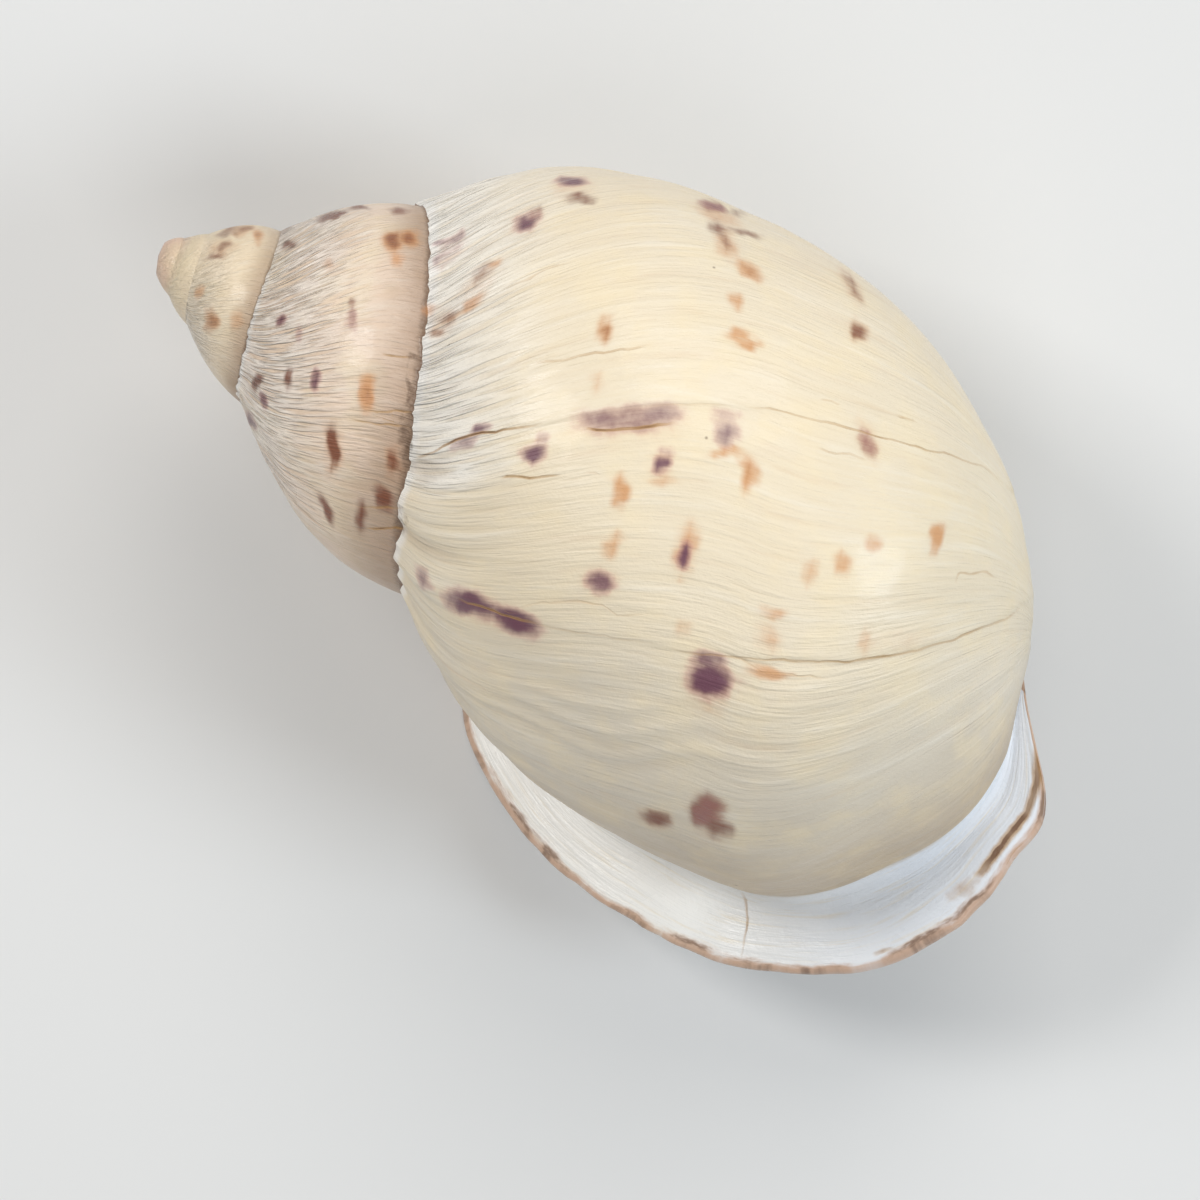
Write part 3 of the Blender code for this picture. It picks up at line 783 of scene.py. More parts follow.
def lip_points(share, row):
    """The lip's outer and inner face, from where it starts to turn, 0, to its edge, 1."""
    curl = LIP_CURL * min(share / BEND_SHARE, 1)
    straight = LIP_WIDTH * max((share - BEND_SHARE) / (1 - BEND_SHARE), 0)
    spread = lip_spread(row)
    out = (LIP_BEND * (1 - math.cos(curl)) + straight * math.sin(curl)) * spread
    ahead = (LIP_BEND * math.sin(curl) + straight * math.cos(curl)) * spread
    thick = WALL + (RIM_THICKNESS - WALL) * share
    lean = curl * np.minimum(spread, 1)
    raised = relief(LIP_TURN, row) * (1 - share) + lip_grooves(share, row) * np.minimum(spread, 1)
    outer = wall_point(LIP_TURN, row, out + raised, ahead)
    out = out + lip_swell(LIP_TURN, row) * (1 - share)
    inner = wall_point(LIP_TURN, row, out - thick * np.cos(lean), ahead + thick * np.sin(lean))
    return outer, inner


def wall_rows():
    upper = np.linspace(0, 1, SPIRE_ROWS + 1) ** ROW_CROWDING
    lower = 1 + np.linspace(GLUE_ROW, 1, BASE_ROWS)
    return np.concatenate([upper, lower])


def spread_columns(marks, step):
    """Growths from the first of these marks to the last, evenly between each two."""
    growths = [marks[0]]
    for start, end in zip(marks, marks[1:]):
        count = max(round((end - start) * 180 / step), 1)
        growths.extend(start + (end - start) * (number + 1) / count for number in range(count))
    return growths


class Skin:
    """A closed net of faces. Each corner of a face holds its growth, row, brim and side."""

    def __init__(self):
        self.points = []
        self.faces = []
        self.values = []

    def add(self, points):
        """Adds an array of points, and returns their numbers in the same layout."""
        flat = np.asarray(points, float).reshape(-1, 3)
        first = len(self.points)
        self.points.extend(flat)
        return (first + np.arange(len(flat))).reshape(np.shape(points)[:-1])

    def face(self, corners):
        """A face from (number, values) corners, without those that coincide."""
        kept = []
        for corner in corners:
            if all(corner[0] != other[0] for other in kept):
                kept.append(corner)
        if len(kept) > 2:
            self.faces.append([int(number) for number, _ in kept])
            self.values.extend(values for _, values in kept)

    def cover(self, numbers, values):
        """Faces all over a net of points."""
        columns, rows = numbers.shape
        for c in range(columns - 1):
            for r in range(rows - 1):
                places = ((c, r), (c + 1, r), (c + 1, r + 1), (c, r + 1))
                self.face([(numbers[place], values[place]) for place in places])

    def fan(self, height, values, line):
        """Faces from a point on the axis to a line of corners."""
        middle = (self.add([[height, 0, 0]])[0], values)
        for first, second in zip(line, line[1:]):
            self.face([middle, first, second])

    def stitch(self, first, second):
        """Faces between two lines of (numbers, values, keys), which may have unlike spacing."""
        (a, a_values, a_keys), (b, b_values, b_keys) = first, second
        i = j = 0
        while i < len(a) - 1 or j < len(b) - 1:
            next_a = a_keys[i + 1] if i < len(a) - 1 else math.inf
            next_b = b_keys[j + 1] if j < len(b) - 1 else math.inf
            corners = [(a[i], a_values[i])]
            step_a = next_a <= next_b + TINY
            step_b = next_b <= next_a + TINY
            if step_a:
                corners.append((a[i + 1], a_values[i + 1]))
            if step_b:
                corners.append((b[j + 1], b_values[j + 1]))
            corners.append((b[j], b_values[j]))
            self.face(corners)
            i += step_a
            j += step_b


def net_values(growths, rows, brim=0.0, inner=0.0):
    """The values of a net's corners: growth, row, brim and side."""
    growth, row = np.meshgrid(growths, rows, indexing="ij")
    return np.stack([growth, row, np.full_like(row, brim), np.full_like(row, inner)], -1)


def wall_growths():
    """The net's columns from the apex to the lip."""
    ends = {APEX_TURN, SEAM_START, FLOOR_END, HOLLOW_END, MOUTH_START, LIP_TURN, *TIGHT_ENDS}
    marks = sorted(ends)
    growths = [APEX_TURN]
    for start, end in zip(marks, marks[1:]):
        middle = (start + end) / 2
        steps = [step for limit, step in zip(TIGHT_ENDS, TIGHT_STEPS) if middle < limit]
        growths.extend(spread_columns((start, end), steps[0] if steps else BACK_STEP)[1:])
    return np.array(growths)


class Wall(Skin):
    """The whole wall: the whorls, the hollow, the lip and its rim."""

    def __init__(self):
        super().__init__()
        self.rows, self.growths = wall_rows(), wall_growths()
        self.at_mouth = self.column_at(MOUTH_START)
        self.at_seam = self.column_at(SEAM_START)
        self.at_hollow = self.column_at(HOLLOW_END)
        self.whorls()
        self.spire_seam()
        self.apex()
        self.hollow()
        self.hollow_floor()
        self.floor_edges()
        self.lip()
        self.free_edge()
        self.lip_end()
        self.hollow_end()

    def column_at(self, growth):
        return int(np.argmin(np.abs(self.growths - growth)))

    def whorls(self):
        """The outer face, down to the next suture, and past it where no whorl follows."""
        growth, row = np.meshgrid(self.growths, self.rows, indexing="ij")
        self.places = places = wall_point(growth, row, relief(growth, row))
        self.outer_values = values = net_values(self.growths, self.rows)
        self.outer = outer = np.full(growth.shape, -1)
        mouth = self.at_mouth
        outer[:, :SPIRE_ROWS] = self.add(places[:, :SPIRE_ROWS])
        outer[mouth, SPIRE_ROWS] = outer[-1, 0]
        outer[mouth + 1 :, SPIRE_ROWS] = self.add(places[mouth + 1 :, SPIRE_ROWS])
        outer[mouth:, GLUE_PLACE:] = self.add(places[mouth:, GLUE_PLACE:])
        self.cover(outer[:, :SPIRE_ROWS], values[:, :SPIRE_ROWS])
        self.cover(outer[mouth:, SPIRE_ROWS - 1 :], values[mouth:, SPIRE_ROWS - 1 :])

    def spire_seam(self):
        """Each whorl's last row meets the suture of the whorl after it."""
        before = slice(self.at_mouth + 1)
        last = SPIRE_ROWS - 1
        above = (self.outer[before, last], self.outer_values[before, last], self.growths[before])
        keys = self.growths[self.at_seam :] + SUTURE_LEAD - 2
        self.stitch(above, (self.outer[self.at_seam :, 0], net_values(keys, [1.0])[:, 0], keys))

    def apex(self):
        """The apex closes with a fan."""
        numbers, values = self.outer, self.outer_values
        loop = [(numbers[c, 0], values[c, 0]) for c in range(self.at_seam + 1)]
        loop += [(numbers[0, r], values[0, r]) for r in range(SPIRE_ROWS - 1, -1, -1)]
        self.fan(APEX_HEIGHT, values[0, 0], loop)

    def hollow(self):
        """The inner face of the hollow. Its first row lies on the whorl before it."""
        self.inner_growths = np.array(spread_columns((HOLLOW_END, LIP_TURN), INNER_STEP))[:-1]
        self.inner_rows = np.concatenate([[0], self.rows[ROW_THINNING:-1:ROW_THINNING], [2.0]])
        growth, row = np.meshgrid(self.inner_growths, self.inner_rows, indexing="ij")
        places = wall_point(growth, row, lip_swell(growth, row) - wall_thickness(growth))
        self.inner_keys = self.inner_growths + SUTURE_LEAD - 2
        places[:, 0] = wall_point(self.inner_keys, 1 + GLUE_ROW)
        self.inner_values = net_values(self.inner_growths, self.inner_rows, inner=1.0)
        self.inner = self.add(places)
        self.cover(self.inner, self.inner_values)

    def hollow_floor(self):
        """The floor of the hollow is the outer face of the whorl before it."""
        columns = range(self.column_at(FLOOR_END), self.at_mouth, FLOOR_THINNING)
        self.floor_columns = np.array(sorted({*columns, self.at_hollow}))
        last = len(self.rows) - 1
        self.floor_rows = np.array([*range(GLUE_PLACE + ROW_THINNING, last, ROW_THINNING), last])
        net = np.ix_(self.floor_columns, self.floor_rows)
        self.floor_values = self.outer_values[net].copy()
        self.floor_values[..., 3] = 1.0
        self.floor = self.add(self.places[net])
        self.cover(self.floor, self.floor_values)

    def floor_edges(self):
        """The floor meets the inner face's first row, and the outer face at the mouth."""
        numbers, values = self.outer[self.at_mouth], self.outer_values[self.at_mouth]
        first = self.floor_rows[0]
        top = np.append(self.floor[:, 0], numbers[first])
        top_values = np.vstack([self.floor_values[:, 0], values[first]])
        top_keys = np.append(self.growths[self.floor_columns], MOUTH_START)
        glue = np.append(self.inner[:, 0], numbers[GLUE_PLACE])
        glue_keys = np.append(self.inner_keys, MOUTH_START)
        glue_values = net_values(glue_keys, [1 + GLUE_ROW], inner=1.0)[:, 0]
        self.stitch((top, top_values, top_keys), (glue, glue_values, glue_keys))
        self.face([(numbers[r], values[r]) for r in range(GLUE_PLACE, first + 1)])
        side = (self.floor[-1], self.floor_values[-1], self.rows[self.floor_rows])
        self.stitch(side, (numbers[first:], values[first:], self.rows[first:]))

    def lip(self):
        """The lip turns out from the outer face, round the rim and back to the inner face."""
        shares = [number / LIP_COLUMNS for number in range(1, LIP_COLUMNS + 1)]
        outs, ins = zip(*(lip_points(share, self.rows) for share in shares))
        rims = rim_points(outs, ins)
        in_start = wall_point(LIP_TURN, self.rows, lip_swell(LIP_TURN, self.rows) - WALL)
        columns = [*outs, *rims, *ins[::-1], in_start]
        brims = [*shares, *[1.0] * len(rims), *shares[::-1], 0.0]
        turned = np.linspace(0, 1, len(rims) + 2)[1:-1]
        sides = [*[0.0] * len(outs), *turned, *[1.0] * (len(ins) + 1)]
        self.ring, self.ring_values = [self.outer[-1]], [self.outer_values[-1]]
        for column, brim, side in zip(columns, brims, sides):
            pole = self.outer[self.at_mouth, GLUE_PLACE] if side == 1.0 else self.outer[-1, 0]
            self.ring.append(np.append([pole], self.add(column[1:])))
            self.ring_values.append(net_values([LIP_TURN], self.rows, brim, side)[0])
        self.cover(np.array(self.ring), np.array(self.ring_values))
        last = (self.inner[-1], self.inner_values[-1], self.inner_rows)
        self.stitch(last, (self.ring[-1], self.ring_values[-1], self.rows))

    def free_edge(self):
        """The wall's free edge beside the axis."""
        behind = self.floor_columns >= self.at_hollow
        mouth = self.at_mouth
        inner = np.append(self.inner[:, -1], self.ring[-1][-1])
        inner_values = np.vstack([self.inner_values[:, -1], self.ring_values[-1][-1]])
        inner_keys = np.append(self.inner_growths, LIP_TURN)
        outer = np.concatenate([self.floor[behind, -1], self.outer[mouth:, -1]])
        outer_values = np.vstack([self.floor_values[behind, -1], self.outer_values[mouth:, -1]])
        floor_keys = self.growths[self.floor_columns[behind]]
        outer_keys = np.concatenate([floor_keys, self.growths[mouth:]])
        self.stitch((inner, inner_values, inner_keys), (outer, outer_values, outer_keys))

    def lip_end(self):
        """The lip's edge beside the axis, between its two faces."""
        numbers = [column[-1] for column in self.ring]
        values = [column[-1] for column in self.ring_values]
        steps = np.arange(LIP_COLUMNS + 1)
        count = len(steps)
        out_line = (numbers[:count], values[:count], steps)
        self.stitch(out_line, (numbers[: -count - 1 : -1], values[: -count - 1 : -1], steps))
        self.face(list(zip(numbers, values))[LIP_COLUMNS:-LIP_COLUMNS])

    def hollow_end(self):
        """The hollow's inner end: a strip down to the whorl below it, and a fan round the axis."""
        line = np.append([self.inner[0, 0]], self.floor[0])
        values = np.vstack([self.inner_values[0, 0], self.floor_values[0]])
        keys = np.append([0], (self.rows[self.floor_rows] - 1 - GLUE_ROW) / (1 - GLUE_ROW))
        top = (self.inner[0], self.inner_values[0], self.inner_rows / 2)
        self.stitch(top, (line, values, keys))
        last = self.inner_values[0, -1]
        inside = self.floor_columns <= self.at_hollow
        loop = [(number, last) for number in (self.inner[0, -1], *self.floor[inside, -1][::-1])]
        height = sum(self.points[number][0] for number, _ in loop) / len(loop)
        self.fan(height, last, loop + loop[:1])


def rim_points(outs, ins):
    """Columns round the lip's edge, between its two faces."""
    outer, inner = outs[-1], ins[-1]
    ahead = outer + inner - outs[-2] - ins[-2]
    length = np.linalg.norm(ahead, axis=-1, keepdims=True)
    ahead = ahead / np.maximum(length, TINY)
    half = (outer - inner) / 2
    bulge = 2 * RIM_ROUNDING * np.linalg.norm(half, axis=-1, keepdims=True)
    middle = (outer + inner) / 2
    columns = []
    for number in range(1, RIM_COLUMNS + 1):
        angle = math.pi * number / (RIM_COLUMNS + 1)
        columns.append(middle + half * math.cos(angle) + ahead * bulge * math.sin(angle))
    return columns


def to_world(points):
    """Points round the axis, in millimetres, as the shell lies in the frame, in metres."""
    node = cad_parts["shell"]
    apex = min((vertex.co for vertex in node.data.vertices), key=lambda co: co.x)
    roll = np.array(Matrix.Rotation(REST_ROLL, 3, "X"))
    move = np.array(apex) - np.array([APEX_HEIGHT, 0, 0]) * MM
    return np.asarray(points, float) @ roll.T * MM + move


def pillar_ring(share):
    """One ring of the pillar: an ellipse that turns as it goes down, and closes at the foot."""
    height = PILLAR_TOP + (PILLAR_FOOT - PILLAR_TOP) * share
    wide = PILLAR_TOP_WIDE + (PILLAR_FOOT_WIDE - PILLAR_TOP_WIDE) * share**2
    narrow = PILLAR_TOP_NARROW + (PILLAR_FOOT_NARROW - PILLAR_TOP_NARROW) * share**2
    past = max((share - 1) / PILLAR_ROUND_END + 1, 0)
    close = math.sqrt(max(1 - past**2, PILLAR_END_AREA))
    twist = np.array(Matrix.Rotation(2 * math.pi * PILLAR_TURNS * share, 3, "X"))
    angle = 2 * math.pi * np.arange(PILLAR_SIDES) / PILLAR_SIDES
    flat = np.stack([0 * angle, wide * np.cos(angle), narrow * np.sin(angle)], -1)
    return flat * close @ twist.T + np.array([height, 0, 0])


def pillar_skin():
    skin = Skin()
    rings = skin.add([pillar_ring(number / PILLAR_RINGS) for number in range(PILLAR_RINGS + 1)])
    rings = np.hstack([rings, rings[:, :1]])
    down, round_it = np.linspace(-1, 1, len(rings)), np.linspace(0, 2, PILLAR_SIDES + 1)
    values = net_values(down, round_it, inner=1.0)
    skin.cover(rings, values)
    for end in (0, -1):
        skin.face([(number, values[end, 0]) for number in rings[end, :-1]])
    return skin


def as_object(name, skin, materials):
    """An object in the frame from a skin, with what its materials need at each corner."""
    data = bpy.data.meshes.new(name)
    near_axis = np.array(skin.points)
    points = to_world(near_axis)
    points[:, 2] = np.maximum(points[:, 2], 0)
    data.from_pydata(points.tolist(), [], skin.faces)
    values = np.array(skin.values)
    corners = np.concatenate(skin.faces)
    marks, tones = paint(values, near_axis[corners])
    layers = (("place", "FLOAT_VECTOR", "vector", values[:, :3]),)
    layers += (("marks", "FLOAT_COLOR", "color", marks), ("tones", "FLOAT_COLOR", "color", tones))
    for layer_name, kind, field, numbers in layers:
        layer = data.attributes.new(layer_name, kind, "CORNER")
        layer.data.foreach_set(field, numbers.astype(np.float32).ravel())
    for material in materials:
        data.materials.append(material)
    starts = np.cumsum([0] + [len(face) for face in skin.faces[:-1]])
    inside = np.add.reduceat(values[:, 3], starts) / [len(face) for face in skin.faces] > 0.5
    data.polygons.foreach_set("material_index", inside.astype(np.int32))
    mesh = bmesh.new()
    mesh.from_mesh(data)
    bmesh.ops.recalc_face_normals(mesh, faces=mesh.faces)
    mesh.to_mesh(data)
    mesh.free()
    data.shade_smooth()
    obj = bpy.data.objects.new(name, data)
    bpy.context.scene.collection.objects.link(obj)
    return obj


def join(obj, other):
    """Makes one closed mesh of two that overlap, in obj, and removes the other."""
    union = obj.modifiers.new("union", "BOOLEAN")
    union.operation = "UNION"
    union.solver = "MANIFOLD"
    union.object = other
    both = obj.evaluated_get(bpy.context.evaluated_depsgraph_get())
    joined = bpy.data.meshes.new_from_object(both)
    obj.modifiers.clear()
    obj.data = joined
    bpy.data.objects.remove(other)


class Nodes:
    """Short ways to add a material's nodes."""

    def __init__(self, name):
        self.material = bpy.data.materials.new(name)
        self.material.use_nodes = True
        self.tree = self.material.node_tree
        self.surface = self.tree.nodes["Principled BSDF"]

    def new(self, kind, **settings):
        node = self.tree.nodes.new(kind)
        for name, value in settings.items():
            setattr(node, name, value)
        return node

    def put(self, socket, value):
        """Links a socket to another, or sets its value."""
        if isinstance(value, bpy.types.NodeSocket):
            self.tree.links.new(value, socket)
        else:
            socket.default_value = value

    def layer(self, name):
        return self.new("ShaderNodeAttribute", attribute_name=name)

    def split(self, colour):
        node = self.new("ShaderNodeSeparateColor")
        self.put(node.inputs[0], colour)
        return node.outputs[0], node.outputs[1], node.outputs[2]

    def math(self, operation, first, second=0.0):
        node = self.new("ShaderNodeMath", operation=operation)
        self.put(node.inputs[0], first)
        self.put(node.inputs[1], second)
        return node.outputs[0]

    def times(self, first, second):
        return self.math("MULTIPLY", first, second)

    def plus(self, first, second):
        return self.math("ADD", first, second)

    def minus(self, first, second):
        return self.math("SUBTRACT", first, second)

    def swayed(self, value, noise, amount):
        """A value that noise moves up and down, by half of an amount at the most."""
        return self.plus(value, self.times(self.minus(noise, 0.5), amount))

    def vector(self, x, y):
        node = self.new("ShaderNodeCombineXYZ")
        self.put(node.inputs[0], x)
        self.put(node.inputs[1], y)
        return node.outputs[0]

    def noise(self, place, scale, detail, rough=0.5):
        node = self.new("ShaderNodeTexNoise")
        self.put(node.inputs["Vector"], place)
        node.inputs["Scale"].default_value = scale
        node.inputs["Detail"].default_value = detail
        node.inputs["Roughness"].default_value = rough
        return node.outputs[0]

    def range(self, value, low, high, to_low=0.0, to_high=1.0):
        node = self.new("ShaderNodeMapRange", interpolation_type="SMOOTHSTEP")
        self.put(node.inputs["Value"], value)
        bounds = (("From Min", low), ("From Max", high), ("To Min", to_low), ("To Max", to_high))
        for name, bound in bounds:
            self.put(node.inputs[name], bound)
        return node.outputs[0]

    def ramp(self, value, stops):
        node = self.new("ShaderNodeValToRGB")
        self.put(node.inputs[0], value)
        elements = node.color_ramp.elements
        while len(elements) < len(stops):
            elements.new(0.5)
        for element, (position, colour) in zip(elements, stops):
            element.position = position
            element.color = (*colour, 1.0)
        return node.outputs[0]

    def mix(self, share, first, second):
        node = self.new("ShaderNodeMix", data_type="RGBA")
        self.put(node.inputs["Factor"], share)
        for socket, value in ((node.inputs[6], first), (node.inputs[7], second)):
            self.put(socket, (*value, 1.0) if isinstance(value, tuple) else value)
        return node.outputs[2]

    def bump(self, height, distance, normal=None):
        node = self.new("ShaderNodeBump")
        node.inputs["Distance"].default_value = distance
        self.put(node.inputs["Height"], height)
        if normal is not None:
            self.put(node.inputs["Normal"], normal)
        return node.outputs[0]


class FaceNodes(Nodes):
    """A material that knows the growth, row and brim of each place, and builds up a colour."""

    def __init__(self, name):
        super().__init__(name)
        place = self.new("ShaderNodeSeparateXYZ")
        self.put(place.inputs[0], self.layer("place").outputs["Vector"])
        self.growth, self.row, self.brim = place.outputs
        self.solid = self.new("ShaderNodeTexCoord").outputs["Object"]

    def growth_noise(self, across, down, detail, rough=0.5):
        """Noise that is drawn out along the growth lines."""
        ahead = self.plus(self.growth, self.times(self.brim, 0.12))
        place = self.vector(self.times(ahead, across), self.times(self.row, down))
        return self.noise(place, 1, detail, rough)

    def worn_edge(self, unevenness):
        """Noise round the lip's edge, and the brim's place moved by it."""
        place = self.vector(self.times(self.row, 9), self.times(self.brim, 6))
        edge = self.noise(place, 1, 4, 0.6)
        return edge, self.swayed(self.brim, edge, unevenness)

    def lay(self, share, tone):
        """Lays a tone over the colour so far."""
        self.colour = self.mix(share, self.colour, tone)

    def finish(self, rough, normal, coat, coat_rough):
        self.put(self.surface.inputs["Base Color"], self.colour)
        self.put(self.surface.inputs["Roughness"], rough)
        self.put(self.surface.inputs["Normal"], normal)
        self.surface.inputs["Coat Weight"].default_value = coat
        self.surface.inputs["Coat Roughness"].default_value = coat_rough
        return self.material


class OuterFace(FaceNodes):
    """The parts of the outer face's look, one over another."""

    def __init__(self):
        super().__init__("shell_outside")
        marks, tones = self.layer("marks"), self.layer("tones")
        self.violet, self.brown, self.orange = self.split(marks.outputs["Color"])
        self.dirt, self.wrinkled, self.proud = self.split(tones.outputs["Color"])
        self.line_strength, self.line_place = marks.outputs["Alpha"], tones.outputs["Alpha"]
        self.patches = self.noise(self.solid, *PATCH_NOISE)
        self.grain = self.noise(self.solid, *GRAIN_NOISE)
        self.streaks = self.growth_noise(*STREAK_NOISE)
        self.lines = self.growth_noise(*LINE_NOISE)
        self.fold = self.math("ABSOLUTE", self.minus(self.growth_noise(*FOLD_NOISE), 0.5))
        self.crest = self.range(self.fold, 0.16, 0.0)
        self.white = self.swayed(self.brim, self.streaks, 0.25)
        self.find_ridged()

    def find_ridged(self):
        """Ridges stand out on the upper half of the spire's whorls and in the wrinkles."""
        on_spire = self.range(self.growth, -0.8, -0.95)
        ridged = self.times(on_spire, self.range(self.row, 0.7, 0.15, 0.2, 1.0))
        ridged = self.times(ridged, self.range(self.growth, -4.0, -2.8, 0.15, 1.0))
        self.ridged = self.math("MAXIMUM", ridged, self.plus(self.wrinkled, 0.08))

    def lay_whorls(self):
        """Round the apex the tones follow the distance along the whorls, with no step at a
        suture."""
        onward = self.times(self.row, self.range(self.growth, -3.6, -5.6, 0, 2 - SUTURE_LEAD))
        broad = self.noise(self.solid, *BROAD_NOISE)
        age = self.swayed(self.plus(self.growth, onward), broad, 0.35)
        age = self.range(age, APEX_TURN, LIP_TURN)
        age.node.interpolation_type = "LINEAR"
        self.colour = self.ramp(age, WHORL_TONES)
        self.lay(self.range(self.patches, 0.42, 0.72, 0, 0.5), CREAM_PATCH)
        self.lay(self.range(self.streaks, 0.5, 0.8, 0, 0.4), PALE_STREAK)
        self.lay(self.range(self.streaks, 0.46, 0.22, 0, 0.4), TAN_STREAK)

    def lay_ridges(self):
        """The lines between ridges are tan, and crests, wrinkles and the suture's edge pearly. The
        crests' pale tone is partly a painted highlight, and the low places get stain and painted
        shade.
        """
        dark = self.range(self.lines, 0.45, 0.25)
        self.lay(self.times(dark, self.range(self.ridged, 0, 1, 0.14, 0.25)), TAN_STREAK)
        self.lay(self.range(self.wrinkled, 0.05, 0.8, 0, 0.45), PEARL_AND_HIGHLIGHT)
        scalloped = self.range(self.row, 0.03, 0.008)
        self.lay(self.times(scalloped, self.range(self.growth, -2.1, -1.5, 0, 0.7)), PEARL_AND_HIGHLIGHT)
        # Paler crests: pearly colour with a painted highlight on the ridges' tops.
        self.lay(self.times(self.times(self.crest, self.ridged), 0.5), PEARL_AND_HIGHLIGHT)
        between = self.times(self.range(self.fold, 0.08, 0.2), self.ridged)
        self.lay(self.times(between, 0.2), TAN_STREAK)
        # Stain and painted shade in the low places between ridges.
        self.lay(self.range(self.proud, 0.46, 0.28, 0, 0.3), GROOVE_STAIN_AND_SHADE)

    def lay_spire_shade(self):
        """The spire is browner beside the next suture, a stain deepened by painted shade, and dark
        where the next whorl starts, grime with a painted contact shadow.
        """
        fades = self.range(self.growth, -4.6, -3.2)
        spire = self.times(self.range(self.growth, -0.85, -0.95), fades)
        # Painted shade with stain on the lower rows of each spire whorl.
        beside = self.range(self.swayed(self.row, self.patches, 0.25), 0.6, 1.0, 0, 0.72)
        self.lay(self.times(beside, spire), SPIRE_SHADE)
        # Painted contact shadow, with grime, where the next whorl touches the spire.
        touching = self.range(self.swayed(self.row, self.grain, 0.04), 0.945, 1.0, 0, 0.75)
        self.lay(self.times(touching, spire), SOIL_AND_SHADE)

    def lay_brim(self):
        """The brim is white past a crease darkened by stain and painted shade, bluish on its lower
        rows as a painted highlight, and its worn edge tan and brown.
        """
        # Stain and painted shade in the crease behind the lip.
        crease = self.times(self.range(self.white, -0.12, 0.08), self.range(self.white, 0.3, 0.1))
        near_lip = self.range(self.growth, LIP_TURN - 0.25, LIP_TURN, 0, 0.7)
        self.lay(self.times(crease, near_lip), GROOVE_STAIN_AND_SHADE)
        # Painted bluish highlight on the brim's lower rows, over its white.
        bright = self.mix(self.range(self.row, 0.9, 1.6), BRIM_WHITE, BRIM_BLUE_HIGHLIGHT)
        self.lay(self.range(self.white, 0.12, 0.3, 0, 0.92), bright)
        lined = self.range(self.lines, 0.5, 0.25, 0, 0.4)
        self.lay(self.times(self.range(self.white, 0.2, 0.4), lined), CREAM_PATCH)
        edge, worn = self.worn_edge(0.22)
        self.lay(self.range(worn, 0.93, 1.0, 0, 0.9), RIM_TAN)
        dark = self.times(self.range(worn, 0.95, 1.0), self.range(edge, 0.5, 0.62))
        self.lay(self.times(dark, 0.6), RIM_BROWN)

    def lay_marks(self):
        """The markings have rough edges, and break up along the growth lines."""
        rough = self.minus(self.noise(self.solid, *RAGGED_NOISE), 0.5)
        self.ragged = self.swayed(rough, self.lines, 0.7)
        for field, low, high, share, tone in (
            (self.orange, 0.02, 0.9, 0.8, ORANGE_GLOW),
            (self.brown, 0.05, 0.85, 0.92, RED_BROWN),
            (self.violet, 0.05, 0.35, 0.35, PINK_HALO),
            (self.violet, 0.15, 0.85, 0.9, VIOLET),
        ):
            broken = self.times(self.ragged, self.range(field, 0.0, 0.25, 0, 0.35))
            self.lay(self.range(self.plus(field, broken), low, high, 0, share), tone)

    def lay_lines(self):
        """The stained lines, and the crack along the middle of each."""
        off = self.math("ABSOLUTE", self.minus(self.line_place, 0.5))
        off = self.plus(self.times(off, 2 * LINE_REACH), self.times(self.ragged, 0.8))
        stain = self.times(self.range(off, 1.7, 0.3), self.line_strength)
        self.crack = self.times(self.range(off, 0.9, 0.3), self.line_strength)
        self.lay(self.range(stain, 0.05, 0.9, 0, 0.75), YELLOW_STAIN)
        self.lay(self.range(self.crack, 0.5, 1.1, 0, 0.8), CRACK_BROWN)

    def lay_soil_and_shade(self):
        """Grime lies in patches beside the suture, darkened as painted shade, and there are a few
        black specks.
        """
        # Grime beside the suture, laid darker than its stain alone as painted shade.
        soil_and_shade = self.plus(self.dirt, self.minus(self.noise(self.solid, *SOIL_NOISE), 0.55))
        soil_and_shade = self.times(soil_and_shade, self.range(self.dirt, 0.02, 0.2))
        self.lay(self.range(soil_and_shade, 0.2, 0.7, 0, 0.75), SOIL_AND_SHADE)
        cells = self.new("ShaderNodeTexVoronoi")
        self.put(cells.inputs["Vector"], self.solid)
        cells.inputs["Scale"].default_value = SPECK_CELLS
        speck = self.range(cells.outputs["Distance"], 0.055, 0.025)
        rare = self.range(self.split(cells.outputs["Color"])[0], 0.8, 0.82)
        self.lay(self.times(self.times(speck, rare), 0.8), SOIL_AND_SHADE)

    def gloss(self):
        """The ridges, the brim and the apex are glossier than the rest."""
        rough = self.range(self.patches, 0.35, 0.7, 0.42, 0.55)
        rough = self.minus(rough, self.times(self.ridged, 0.26))
        rough = self.minus(rough, self.range(self.white, 0.1, 0.4, 0, 0.16))
        return self.minus(rough, self.range(self.growth, -2.8, -3.6, 0, 0.12))

    def bumps(self):
        height = self.times(self.lines, self.range(self.ridged, 0, 1, 0.6, 1.0))
        height = self.plus(height, self.times(self.streaks, 0.9))
        height = self.plus(height, self.times(self.crest, self.times(self.ridged, 1.3)))
        height = self.minus(height, self.times(self.crack, 0.3))
        return self.bump(self.grain, GRAIN_HEIGHT, self.bump(height, LINE_HEIGHT))


def outside_material():
    face = OuterFace()
    face.lay_whorls()
    face.lay_ridges()
    face.lay_spire_shade()
    face.lay_brim()
    face.lay_marks()
    face.lay_lines()
    face.lay_soil_and_shade()
    face.surface.inputs["Specular IOR Level"].default_value = 0.4
    return face.finish(face.gloss(), face.bumps(), coat=0.15, coat_rough=0.12)


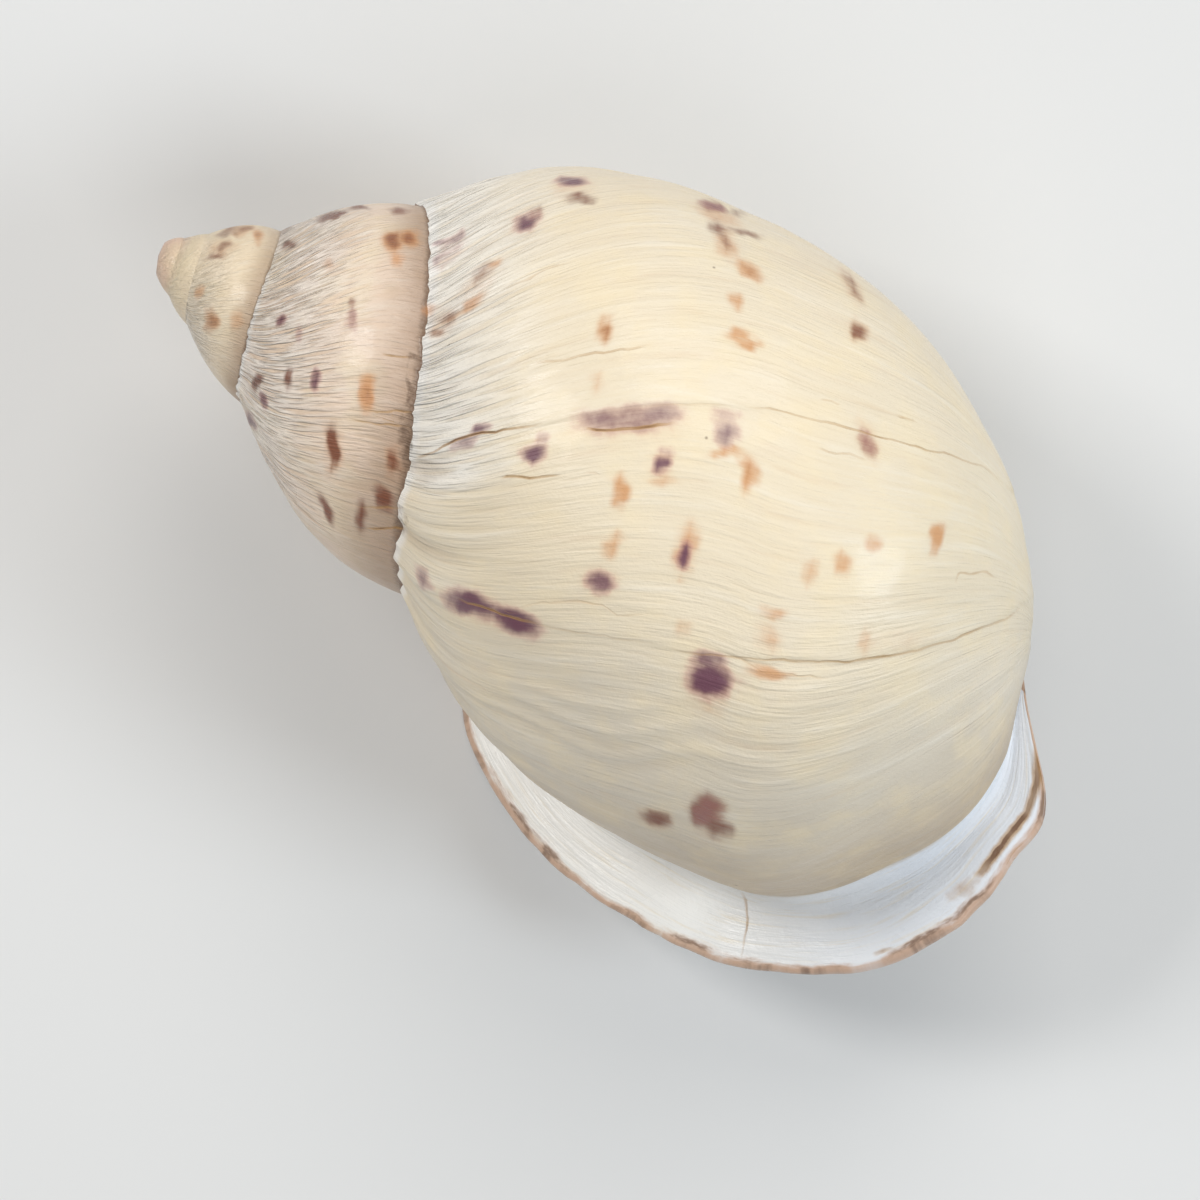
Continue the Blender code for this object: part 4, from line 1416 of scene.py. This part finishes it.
def inside_material():
    """The hollow and the pillar are smooth and white, like porcelain."""
    face = FaceNodes("shell_inside")
    streaks = face.growth_noise(*INSIDE_STREAK_NOISE)
    clouds = face.noise(face.solid, *CLOUD_NOISE)
    face.colour = face.mix(face.range(clouds, 0.35, 0.7), PORCELAIN, PORCELAIN_BLUE)
    face.lay(face.range(streaks, 0.5, 0.25, 0, 0.35), PORCELAIN_TAN)
    worn = face.worn_edge(0.3)[1]
    face.lay(face.range(worn, 0.93, 1.05, 0, 0.6), RIM_TAN)
    rough = face.range(clouds, 0.3, 0.7, 0.16, 0.3)
    return face.finish(rough, face.bump(streaks, INSIDE_HEIGHT), coat=0.5, coat_rough=0.08)


def floor_material():
    nodes = Nodes("floor")
    nodes.surface.inputs["Base Color"].default_value = FLOOR_COLOUR
    nodes.surface.inputs["Roughness"].default_value = FLOOR_ROUGHNESS
    return nodes.material


def build_shell():
    materials = (outside_material(), inside_material())
    shell = as_object("shell_body", Wall(), materials)
    join(shell, as_object("pillar", pillar_skin(), materials))
    return shell


def add_camera():
    data = bpy.data.cameras.new("camera")
    data.lens = LENS
    data.sensor_width = SENSOR
    camera = bpy.data.objects.new("camera", data)
    turn = Matrix.Rotation(REST_ROLL, 4, "X") @ Matrix.Rotation(-CAMERA_TILT, 4, "Z")
    camera.matrix_world = Matrix.Translation(Vector(to_world([CAMERA_PLACE])[0])) @ turn
    bpy.context.scene.collection.objects.link(camera)
    bpy.context.scene.camera = camera


def add_floor():
    bpy.ops.mesh.primitive_plane_add(size=FLOOR_SIZE)
    floor = bpy.context.active_object
    floor.name = "floor"
    floor.data.materials.append(floor_material())


def add_light(name, place, size, power, colour):
    """A square light that points at the shell, placed to the right, up and near in the picture."""
    right, up, near = place
    data = bpy.data.lights.new(name, "AREA")
    data.size = size
    data.energy = power
    data.color = colour
    light = bpy.data.objects.new(name, data)
    light.location = Matrix.Rotation(-CAMERA_TILT, 3, "Z") @ Vector((right, up, near))
    light.rotation_euler = (-light.location).to_track_quat("-Z", "Y").to_euler()
    bpy.context.scene.collection.objects.link(light)


def add_sky():
    world = bpy.data.worlds.new("sky")
    world.use_nodes = True
    background = world.node_tree.nodes["Background"]
    background.inputs["Color"].default_value = SKY_COLOUR
    background.inputs["Strength"].default_value = SKY_STRENGTH
    bpy.context.scene.world = world


shell = build_shell()
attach(shell, "root")
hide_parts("shell")
add_floor()
add_sky()
add_camera()
for light in LIGHTS:
    add_light(*light)
bpy.context.scene.view_settings.view_transform = "Standard"
